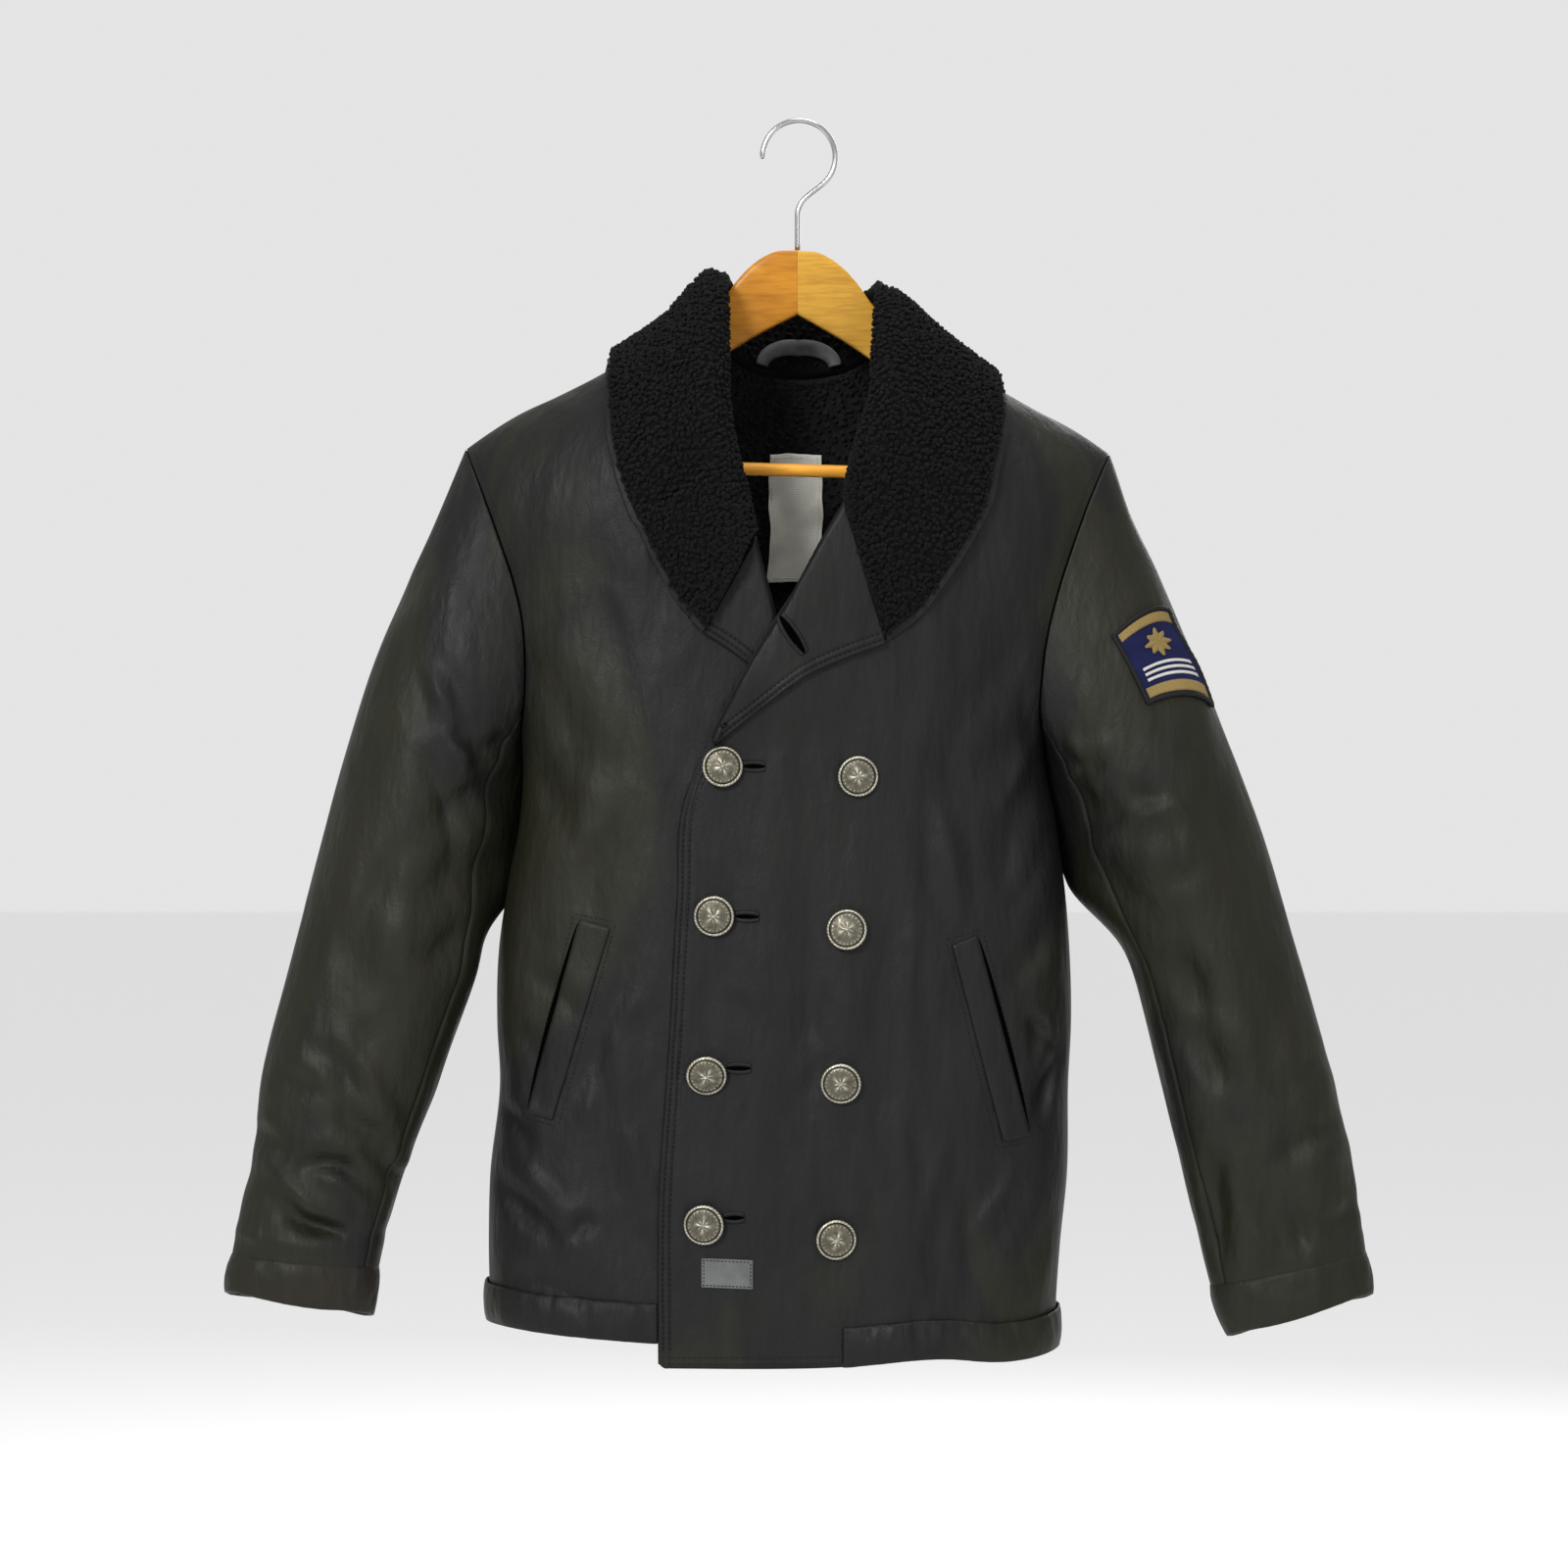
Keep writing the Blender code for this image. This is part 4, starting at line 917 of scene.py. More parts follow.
def wall(name, outer, thickness, finish, ring=False, inner=None, rim=0.0):
    """A closed wall of cloth: its outer grid, its inner one moved in by the thickness, and between
    them a rim of two rows whose middle stands out by rim times the thickness."""
    if inner is None:
        inner = moved_out(outer, -thickness, ring)
    rows, columns = outer.shape[:2]
    reach = np.zeros_like(outer)
    reach[0] += unit(outer[0] - outer[1])
    reach[-1] += unit(outer[-1] - outer[-2])
    if not ring:
        reach[:, 0] += unit(outer[:, 0] - outer[:, 1])
        reach[:, -1] += unit(outer[:, -1] - outer[:, -2])
    edge = (outer + inner) / 2 + unit(reach) * rim * thickness
    index = np.arange(rows * columns).reshape(rows, columns)
    if ring:
        loops = [index[0], index[-1][::-1]]
    else:
        loops = [np.concatenate([index[0], index[1:, -1], index[-1, -2::-1], index[-2:0:-1, 0]])]
    count = rows * columns
    faces = [grid_faces(index, ring), grid_faces(index, ring)[:, ::-1] + count]
    chosen = np.concatenate(loops)
    start = 2 * count
    for loop in loops:
        middle = start + np.arange(len(loop))
        start += len(loop)
        after, middle_after = np.roll(loop, -1), np.roll(middle, -1)
        faces.append(np.stack([after, loop, middle, middle_after], axis=-1))
        faces.append(np.stack([middle_after, middle, loop + count, after + count], axis=-1))
    flat = lengths_of(outer, ring)
    points = np.concatenate([outer.reshape(-1, 3), inner.reshape(-1, 3), edge.reshape(-1, 3)[chosen]])
    return mesh_of(name, points, faces, finish, np.concatenate([flat, flat, flat[chosen]]))


def lengths_of(grid, ring=False):
    """The map of a grid laid flat: how far each point is along its row and along its column."""
    u = np.cumsum(np.linalg.norm(np.diff(grid, axis=1, prepend=grid[:, :1]), axis=-1), axis=1)
    v = np.cumsum(np.linalg.norm(np.diff(grid, axis=0, prepend=grid[:1]), axis=-1), axis=0)
    if not ring:
        u = u - u[:, [u.shape[1] // 2]]
    return np.stack([u, v], axis=-1).reshape(-1, 2)


def sewn(obj, nodes):
    """Hides the model's parts that a cloth piece stands for."""
    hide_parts(*nodes)


def new_material(name, colour, roughness, metallic=0.0):
    """A material of one colour and roughness, with its node tree and its shader."""
    made = bpy.data.materials.new(name)
    made.use_nodes = True
    shader = made.node_tree.nodes["Principled BSDF"]
    shader.inputs["Base Color"].default_value = (*colour, 1.0)
    shader.inputs["Roughness"].default_value = roughness
    shader.inputs["Metallic"].default_value = metallic
    return made, made.node_tree, shader


def add(tree, kind, **settings):
    """A node of this kind, with its settings. A name with an underscore in front sets the socket of
    that name, or of that number."""
    node = tree.nodes.new(kind)
    for key, value in settings.items():
        if key[1:].isdigit():
            node.inputs[int(key[1:])].default_value = value
        elif key.startswith("_"):
            node.inputs[key[1:].replace("_", " ")].default_value = value
        else:
            setattr(node, key, value)
    return node


def ramp(tree, source, stops):
    """Colours along a value: stops are (place, colour)."""
    node = tree.nodes.new("ShaderNodeValToRGB")
    while len(node.color_ramp.elements) < len(stops):
        node.color_ramp.elements.new(0.5)
    for element, (place, colour) in zip(node.color_ramp.elements, stops):
        element.position = place
        element.color = (*colour, 1.0)
    tree.links.new(source, node.inputs["Fac"])
    return node.outputs["Color"]


def stretched(tree, scale, turn=(0, 0, 0), source="Object"):
    """The piece's own coordinates, stretched by scale and turned."""
    place = tree.nodes.new("ShaderNodeTexCoord")
    turned = tree.nodes.new("ShaderNodeMapping")
    turned.inputs["Scale"].default_value = scale
    turned.inputs["Rotation"].default_value = turn
    tree.links.new(place.outputs[source], turned.inputs["Vector"])
    return turned.outputs["Vector"]


def noise(tree, vector, scale, detail=3.0, rough=0.55, distortion=0.0):
    """Smooth noise over the coordinates, from 0 to 1."""
    node = add(
        tree, "ShaderNodeTexNoise", _Scale=scale, _Detail=detail, _Roughness=rough, _Distortion=distortion
    )
    tree.links.new(vector, node.inputs["Vector"])
    return node.outputs["Fac"]


def bumped(tree, shader, layers):
    """Bumps laid on each other: layers are (height, strength, distance in metres)."""
    under = None
    for height, strength, distance in layers:
        node = add(tree, "ShaderNodeBump", _Strength=strength, _Distance=distance)
        tree.links.new(height, node.inputs["Height"])
        if under:
            tree.links.new(under, node.inputs["Normal"])
        under = node.outputs["Normal"]
    tree.links.new(under, shader.inputs["Normal"])


def worked(tree, operation, value, other=None, **settings):
    """A sum worked on a value, with another value or with the numbers in the settings."""
    node = add(tree, "ShaderNodeMath", operation=operation, **settings)
    tree.links.new(value, node.inputs[0])
    if other is not None:
        tree.links.new(other, node.inputs[1])
    return node.outputs[0]


def mixed(tree, kind, factor, one, two):
    """Two colours blended in this way, each a plain colour or a socket, by a number or a socket."""
    node = add(tree, "ShaderNodeMix", data_type="RGBA", blend_type=kind)
    if isinstance(factor, float):
        node.inputs[0].default_value = factor
    else:
        tree.links.new(factor, node.inputs[0])
    for socket, value in ((node.inputs[6], one), (node.inputs[7], two)):
        if isinstance(value, tuple):
            socket.default_value = (*value, 1.0)
        else:
            tree.links.new(value, socket)
    return node.outputs[2]


OLIVE_BLACK = (0.0092, 0.0094, 0.0048)
GREY_BLACK = (0.0050, 0.0050, 0.0047)
BLUE_BLACK = (0.0045, 0.0045, 0.0052)
BROWN_BLACK = (0.0150, 0.0090, 0.0065)
LEATHER_TINTS = ((0.38, OLIVE_BLACK), (0.49, GREY_BLACK), (0.6, BLUE_BLACK), (0.74, GREY_BLACK))
# What is added to the wide noise before the leather's tint is read: so much a metre, and a start.
TINT_OUTWARD = (-1.3, 0.225)
TINT_UPWARD = (0.6, 0.42)


def leather_material(name, brown=0.0, shade=1.0):
    """Soft black leather, rubbed brown where brown is above 0.

    Its tint is read off a ramp from olive over grey to blue, at a wide noise that falls with the
    distance from the jacket's middle and, low down, with the height. Streaks along the hang shade it
    and set its gloss. Its bumps are a pebbled grain of cells, small wrinkles, ridged crinkles and a
    broad slack, one laid on the other.
    """
    made, tree, shader = new_material(name, GREY_BLACK, 0.43)
    shader.inputs["Specular IOR Level"].default_value = 0.18
    wide = noise(tree, stretched(tree, (1.0, 1.0, 0.5)), 8.5, 4.0, 0.6, 0.5)
    place = add(tree, "ShaderNodeSeparateXYZ")
    tree.links.new(stretched(tree, (1, 1, 1)), place.inputs[0])
    off_middle = worked(tree, "ABSOLUTE", place.outputs["X"])
    outward = worked(tree, "MULTIPLY_ADD", off_middle, _001=TINT_OUTWARD[0], _002=TINT_OUTWARD[1])
    upward = worked(tree, "MULTIPLY_ADD", place.outputs["Z"], _001=TINT_UPWARD[0], _002=TINT_UPWARD[1])
    lower = worked(tree, "MINIMUM", upward, _001=0.0)
    tint = ramp(tree, worked(tree, "ADD", worked(tree, "ADD", wide, outward), lower), LEATHER_TINTS)
    streaks = noise(tree, stretched(tree, (1.0, 1.0, 0.3)), 48.0, 4.0, 0.65, 0.3)
    low, high = 0.8 * shade, 1.14 * shade
    shading = ramp(tree, streaks, ((0.3, (low, low, low)), (0.7, (high, high, 0.98 * high))))
    colour = mixed(tree, "MULTIPLY", 1.0, tint, shading)
    if brown:
        rubbed = noise(tree, stretched(tree, (1.0, 1.0, 1.0)), 26.0, 4.0, 0.65)
        where = ramp(tree, rubbed, ((0.42, (0, 0, 0)), (0.62, (brown, brown, brown))))
        colour = mixed(tree, "MIX", where, colour, BROWN_BLACK)
    tree.links.new(colour, shader.inputs["Base Color"])
    gloss = ramp(tree, streaks, ((0.3, (0.62, 0.62, 0.62)), (0.7, (0.45, 0.45, 0.45))))
    tree.links.new(gloss, shader.inputs["Roughness"])
    grain = add(tree, "ShaderNodeTexVoronoi", feature="F1", _Scale=620.0)
    tree.links.new(stretched(tree, (1.0, 1.0, 1.0)), grain.inputs["Vector"])
    wrinkles = noise(tree, stretched(tree, (1.0, 1.0, 0.45)), 130.0, 4.0, 0.6, 0.4)
    slack = noise(tree, stretched(tree, (1.0, 1.0, 0.3)), 34.0, 3.0, 0.5)
    crinkles = add(
        tree, "ShaderNodeTexNoise", noise_type="RIDGED_MULTIFRACTAL",
        _Scale=26.0, _Detail=5.0, _Distortion=0.7,
    )
    tree.links.new(stretched(tree, (1.0, 1.0, 0.42)), crinkles.inputs["Vector"])
    bumped(tree, shader, (
        (grain.outputs["Distance"], 0.25, 0.0003),
        (wrinkles, 0.5, 0.0017),
        (crinkles.outputs[0], 0.45, 0.0022),
        (slack, 0.65, 0.0060),
    ))
    return made


def fleece_material(name, light=1.0):
    """Black curled pile: almost no gloss, a faint sheen, its tint uneven in small spots. Light scales the
    tint, and copies made with it paint light and shade: a darker one is painted shade for the ground between
    the curls, a lighter one painted light for the lining in the neck's shadow.
    """
    made, tree, shader = new_material(name, (0.012, 0.012, 0.0125), 0.86)
    shader.inputs["Specular IOR Level"].default_value = 0.09
    shader.inputs["Sheen Weight"].default_value = 0.02
    shader.inputs["Sheen Roughness"].default_value = 0.5
    spots = noise(tree, stretched(tree, (1.0, 1.0, 1.0)), 210.0, 2.0, 0.5)
    low, high = 0.0042 * light, 0.0105 * light
    tint = ramp(tree, spots, ((0.32, (low, low, low * 1.02)), (0.68, (high, high, high * 1.03))))
    tree.links.new(tint, shader.inputs["Base Color"])
    fibres = noise(tree, stretched(tree, (1.0, 1.0, 1.0)), 1500.0, 2.0, 0.6)
    bumped(tree, shader, ((fibres, 0.5, 0.0005),))
    return made


def satin_material():
    """Dark grey satin ribbon with fine ribs across it."""
    made, tree, shader = new_material("grey_satin_ribbon", (0.03, 0.032, 0.035), 0.45)
    shader.inputs["Specular IOR Level"].default_value = 0.3
    shader.inputs["Anisotropic"].default_value = 0.5
    ribs = add(
        tree, "ShaderNodeTexWave", wave_type="BANDS", bands_direction="Y", _Scale=420.0, _Distortion=0.4
    )
    tree.links.new(stretched(tree, (1, 1, 1), source="UV"), ribs.inputs["Vector"])
    worn = noise(tree, stretched(tree, (1, 1, 1)), 160.0, 2.0)
    tint = ramp(tree, worn, ((0.3, (0.024, 0.026, 0.028)), (0.7, (0.042, 0.044, 0.047))))
    tree.links.new(tint, shader.inputs["Base Color"])
    bumped(tree, shader, ((ribs.outputs["Fac"], 0.25, 0.0002),))
    return made


def woven_material(name, dark, light, scale=1150.0, roughness=0.82):
    """Label cloth: a plain weave of warp and weft, its colour uneven from thread to thread."""
    made, tree, shader = new_material(name, light, roughness)
    shader.inputs["Specular IOR Level"].default_value = 0.12
    vector = stretched(tree, (1, 1, 1), source="UV")
    bands = []
    for way in ("X", "Y"):
        wave = add(tree, "ShaderNodeTexWave", wave_type="BANDS", bands_direction=way, _Scale=scale / math.tau)
        tree.links.new(vector, wave.inputs["Vector"])
        bands.append(wave.outputs["Fac"])
    weave = mixed(tree, "MULTIPLY", 1.0, bands[0], bands[1])
    stains = noise(tree, stretched(tree, (1, 1, 1)), 55.0, 3.0)
    tint = ramp(tree, stains, ((0.3, dark), (0.7, light)))
    shaded = ramp(tree, weave, ((0.0, (0.80, 0.80, 0.80)), (0.6, (1.0, 1.0, 1.0))))
    tree.links.new(mixed(tree, "MULTIPLY", 1.0, tint, shaded), shader.inputs["Base Color"])
    bumped(tree, shader, ((weave, 0.5, 0.0003),))
    return made


def pewter_material():
    """Antique pewter: bright on what stands out, nearly black in the hollows, lightly scratched."""
    made, tree, shader = new_material("antique_pewter", (0.42, 0.40, 0.34), 0.38, 0.95)
    raised = add(tree, "ShaderNodeAttribute", attribute_name="relief")
    patina = noise(tree, stretched(tree, (1, 1, 1)), 330.0, 4.0, 0.65)
    tint = ramp(tree, raised.outputs["Fac"], (
        (0.18, (0.014, 0.013, 0.010)), (0.45, (0.12, 0.112, 0.088)),
        (0.75, (0.32, 0.30, 0.245)), (1.0, (0.55, 0.53, 0.45)),
    ))
    worn = ramp(tree, patina, ((0.3, (0.5, 0.5, 0.47)), (0.7, (1.12, 1.12, 1.1))))
    tree.links.new(mixed(tree, "MULTIPLY", 1.0, tint, worn), shader.inputs["Base Color"])
    gloss = ramp(tree, patina, ((0.3, (0.58, 0.58, 0.58)), (0.7, (0.32, 0.32, 0.32))))
    tree.links.new(gloss, shader.inputs["Roughness"])
    bumped(tree, shader, ((patina, 0.3, 0.0003),))
    return made


def wood_material(name, light, dark, lean):
    """Varnished beech: long fine grain along the arm, short flecks, a clear gloss coat."""
    made, tree, shader = new_material(name, light, 0.34)
    shader.inputs["Specular IOR Level"].default_value = 0.15
    shader.inputs["Coat Weight"].default_value = 0.06
    shader.inputs["Coat Roughness"].default_value = 0.2
    along = stretched(tree, (0.16, 1.0, 1.0), (0, lean, 0))
    grain = noise(tree, along, 95.0, 4.0, 0.6, 0.8)
    flecks = noise(tree, stretched(tree, (0.12, 1.0, 1.0), (0, lean, 0)), 520.0, 2.0, 0.5)
    clouds = noise(tree, stretched(tree, (1, 1, 1)), 16.0, 2.0)
    tint = ramp(tree, grain, ((0.32, dark), (0.66, light)))
    marks = ramp(tree, flecks, ((0.36, (0.86, 0.82, 0.76)), (0.55, (1.0, 1.0, 1.0))))
    wide = ramp(tree, clouds, ((0.3, (0.88, 0.85, 0.80)), (0.7, (1.06, 1.05, 1.03))))
    colour = mixed(tree, "MULTIPLY", 1.0, mixed(tree, "MULTIPLY", 1.0, tint, marks), wide)
    tree.links.new(colour, shader.inputs["Base Color"])
    bumped(tree, shader, ((flecks, 0.08, 0.0002),))
    return made


def chrome_material():
    """Bright plated wire with faint drawing marks."""
    made, tree, shader = new_material("bright_chrome", (0.40, 0.40, 0.41), 0.12, 1.0)
    marks = noise(tree, stretched(tree, (1, 1, 0.2)), 700.0, 2.0)
    gloss = ramp(tree, marks, ((0.3, (0.10, 0.10, 0.10)), (0.7, (0.20, 0.20, 0.20))))
    tree.links.new(gloss, shader.inputs["Roughness"])
    bumped(tree, shader, ((marks, 0.05, 0.0001),))
    return made


def thread_material(name, colour):
    """Sewing thread, twisted and faintly glossy."""
    made, tree, shader = new_material(name, colour, 0.6)
    shader.inputs["Specular IOR Level"].default_value = 0.15
    twist = noise(tree, stretched(tree, (1, 1, 1)), 2600.0, 1.0)
    tint = ramp(tree, twist, ((0.3, tuple(0.7 * c for c in colour)), (0.7, tuple(1.25 * c for c in colour))))
    tree.links.new(tint, shader.inputs["Base Color"])
    bumped(tree, shader, ((twist, 0.4, 0.0002),))
    return made


def slit_material():
    """Painted shade for the inside of a slit: black, without any gloss."""
    made, _, shader = new_material("dark_slit_painted_shade", (0.0008, 0.0008, 0.0008), 1.0)
    shader.inputs["Specular IOR Level"].default_value = 0.0
    return made


# How far the grain of the hanger's arms slopes from level.
ARM_SLOPE = math.radians(28)

leather = leather_material("soft_black_leather")
rubbed_leather = leather_material("rubbed_black_leather", 0.55)
fleece = fleece_material("curled_fleece", 0.45)
# The lining's fleece is the same pile made lighter: painted light, lifting the shadow inside the neck.
lining_fleece_painted_light = fleece_material("lining_fleece_painted_light", 1.1)
# The ground under the curls is the same pile made darker: painted shade between the curls.
fleece_ground_painted_shade = fleece_material("fleece_ground_painted_shade", 0.25)
satin = satin_material()
cream = woven_material("cream_label_cloth", (0.76, 0.75, 0.66), (0.90, 0.89, 0.80))
grey_cloth = woven_material("grey_label_cloth", (0.085, 0.09, 0.09), (0.13, 0.135, 0.135), 1500.0)
pewter = pewter_material()
# The right arm's wood is a darker, redder copy of the same beech: painted shade for the arm that faces away
# from the light.
wood_right_painted_shade = wood_material("varnished_wood_right", (0.44, 0.185, 0.014), (0.33, 0.130, 0.008), -ARM_SLOPE)
wood_left = wood_material("varnished_wood_left", (0.49, 0.275, 0.036), (0.41, 0.215, 0.025), ARM_SLOPE)
# The bar's wood is a much lighter copy of the beech: painted light, lifting the shadow that the bar hangs in.
wood_bar_painted_light = wood_material("varnished_wood_bar", (0.92, 0.44, 0.05), (0.72, 0.32, 0.032), 0.0)
chrome = chrome_material()
black_thread = thread_material("black_thread", (0.007, 0.007, 0.007))
piping_leather = leather_material("dark_piping", shade=0.7)
# Black strips stand for the shade inside the buttonholes and the pocket slots: painted shade.
dark_slit_painted_shade = slit_material()
navy_cloth = woven_material("badge_navy_cloth", (0.0055, 0.0065, 0.034), (0.0075, 0.0095, 0.050), 2200.0)
gold_thread = thread_material("badge_gold_thread", (0.18, 0.125, 0.042))
white_thread = thread_material("badge_white_thread", (0.40, 0.40, 0.37))
badge_border = thread_material("badge_black_border", (0.006, 0.006, 0.006))


def panel(name, outer, finish, side, rim=0.0, thickness=LEATHER):
    """A wall on one side of the hanger's plane, -1 in front, whose seams there stop short of it."""
    inner = moved_out(outer, -thickness)
    inner[..., 1] = side * np.maximum(side * inner[..., 1], SEAM / 2)
    return wall(name, outer, thickness, finish, inner=inner, rim=rim)


def make_body():
    """The two fronts and the back, each a wall on its creased surface."""
    for side in ("right", "left"):
        grid = front_grid(side)
        sewn(panel(f"front_{side}_shell", grid, leather, -1), [f"front_{side}"])
    grid = back_grid()
    sewn(panel("back_shell", grid, leather, 1), ["back"])


def right_front(x, z):
    """The right front's outer surface at any place across and up."""
    return front_surface(x, z, "right")


def left_front(x, z):
    """The left front's outer surface at any place across and up."""
    return front_surface(x, z, "left")


HEM_ROWS = 15
HEM_SEAM_GAP = 0.3


def hem_band(name, hem, ends, surface, side, columns, seed, first=0.0, last=1.0):
    """A turned-up hem band: rows from its lower edge up, rounded between them, and gathered along
    its seam into fine puckers of uneven size. An end is a side seam, named by its side, or a place
    across where the band runs in under nothing and lies closer. Its columns close up towards the
    side seams, by the part of a half turn from first to last."""
    share = np.linspace(0, 1, HEM_ROWS)[:, None]
    turn = np.linspace(math.pi * first, math.pi * last, columns)
    way = (np.cos(turn[0]) - np.cos(turn)) / (np.cos(turn[0]) - np.cos(turn[-1]))
    seams = {
        "right": float(outer_side(HEM_RIGHT[0][1], "right")),
        "left": float(outer_side(HEM_LEFT[-1][1], "left")),
    }
    start, end = (
        outer_side(column(hem, 0, 1, seams[place]) + HEM_BAND * share, place) if place in seams
        else place + 0 * share
        for place in ends
    )
    x = start + (end - start) * way[None, :]
    z = column(hem, 0, 1, x) + HEM_BAND * share
    grid = surface(x, z)
    wave = cloud(np.stack([x, 0.25 * z], axis=-1), 13, seed, 3)
    slack = cloud(np.stack([x, 0.6 * z], axis=-1), 46, seed + 1, 2)
    arch = np.sin(math.pi * share) ** 0.7
    puff = HEM_BULGE * 1.25 * arch + 0.95 * wave * (0.45 + 0.55 * share) + 0.8 * slack
    from_side = np.min([np.abs(x - seams[place]) for place in ends if place in seams], axis=0)
    held = ease(0, 0.12, share) * ease(0, 0.1, 1 - share) * (0.4 + 0.6 * ease(0, 5, from_side))
    gap = HEM_GAP
    for place in ends:
        if place not in seams:
            from_open = np.abs(x - place)
            held = held * ease(-4, 20, from_open)
            gap = HEM_SEAM_GAP + (HEM_GAP - HEM_SEAM_GAP) * ease(0, 30, from_open)
    grid = moved_out(grid, (LEATHER + gap + puff * (0.2 + 0.8 * held))[..., None])
    made = panel(name, grid, leather, side, rim=0.3)
    sewn(made, [name.replace("_band", "")])


def make_hems():
    """Bands over the lower edges. The right one stops where the left front covers it."""
    hem_band("hem_right_band", HEM_RIGHT, ("right", HEM_RIGHT_END), right_front, -1, 110, 5, last=0.5)
    hem_band("hem_left_band", HEM_LEFT, (HEM_LEFT_END, "left"), left_front, -1, 130, 6, first=0.5)
    hem_band("hem_back_band", HEM_BACK, ("left", "right"), back_surface, 1, 260, 7)


# The columns of a sleeve piece close to its seams, in degrees from the seam, and how many more lie
# between them on each piece; the dent along a seam, and how wide it is.
SEAM_ROWS = np.array([0.15, 0.7, 1.4, 2.2, 3.2, 4.6, 6.5])
SEAM_CLEAR = 9
TOP_COLUMNS = 84
UNDER_COLUMNS = 26
SEAM_DENT = 0.9
SEAM_WIDE = 1.7
CUFF_WALL = 2.6


def make_sleeves():
    """Each sleeve in a top and an under piece that meet in two dented seams, and its cuff band."""
    stations = np.linspace(0, CUFF_STATION, 128)
    top = np.concatenate([
        BACK_SEAM + SEAM_ROWS,
        np.linspace(BACK_SEAM + SEAM_CLEAR, FRONT_SEAM - SEAM_CLEAR, TOP_COLUMNS),
        FRONT_SEAM - SEAM_ROWS[::-1],
    ])
    under = np.concatenate([
        FRONT_SEAM + SEAM_ROWS,
        np.linspace(FRONT_SEAM + SEAM_CLEAR, BACK_SEAM + 360 - SEAM_CLEAR, UNDER_COLUMNS),
        BACK_SEAM + 360 - SEAM_ROWS[::-1],
    ])
    for side in ("right", "left"):
        way = -1 if side == "right" else 1
        for piece, angles in (("top", top), ("under", under)):
            grid = sleeve_surface(side, stations, angles)[::way]
            from_seam = np.minimum(angles - angles[0], angles[-1] - angles)
            grid = moved_out(grid, (-SEAM_DENT * np.exp(-((from_seam / SEAM_WIDE) ** 2)))[None, :, None])
            made = wall(f"sleeve_{piece}_{side}_shell", grid, LEATHER, leather)
            sewn(made, [f"sleeve_{piece}_{side}"])
        make_cuff(side, way)


def make_cuff(side, way):
    """A turned-up cuff band: puffed between its seam and its edge, slack and unevenly gathered, and
    a little lower behind than in front."""
    band = np.linspace(CUFF_STATION - 0.04, 10, 16)
    angles = np.linspace(0, 360, 121)[:-1]
    share = ((band - band[0]) / (band[-1] - band[0]))[:, None]
    grid = sleeve_grid(side, band, angles)
    seed = 91 if side == "right" else 97
    turn = np.radians(angles)
    around = np.stack([60 * np.cos(turn), 60 * np.sin(turn)], axis=-1)[None, :, :] + 0 * share[..., None]
    wave = cloud(np.concatenate([around, 20 * share[..., None] + 0 * around[..., :1]], axis=-1), 26, seed, 3)
    behind = 4.5 * (0.5 - 0.5 * np.sin(turn))[None, :]
    grid[..., 2] -= (behind + 1.2 * np.sin(3 * turn + seed)[None, :]) * share
    arch = np.sin(math.pi * share)
    puff = 0.25 + 0.6 * ease(0, 0.2, share) + 1.5 * arch**0.7 + 0.9 * wave * arch**0.5
    grid = moved_out(grid[::way], puff[::way][..., None], ring=True)
    finish = rubbed_leather if side == "right" else leather
    made = wall(f"cuff_{side}_band", grid, CUFF_WALL, finish, ring=True, rim=0.35)
    sewn(made, [f"cuff_{side}"])


# The fleece: how far apart its curls lie, how wide each winds and how thick it is, how deep the pile
# is over its ground, and the rings and sides of the tube that makes a curl.
CURL_APART = 4.25
CURL_WIND = 1.05
CURL_THICK = 1.6
PILE = 2.8
CURL_STEPS = 5
CURL_SIDES = 4


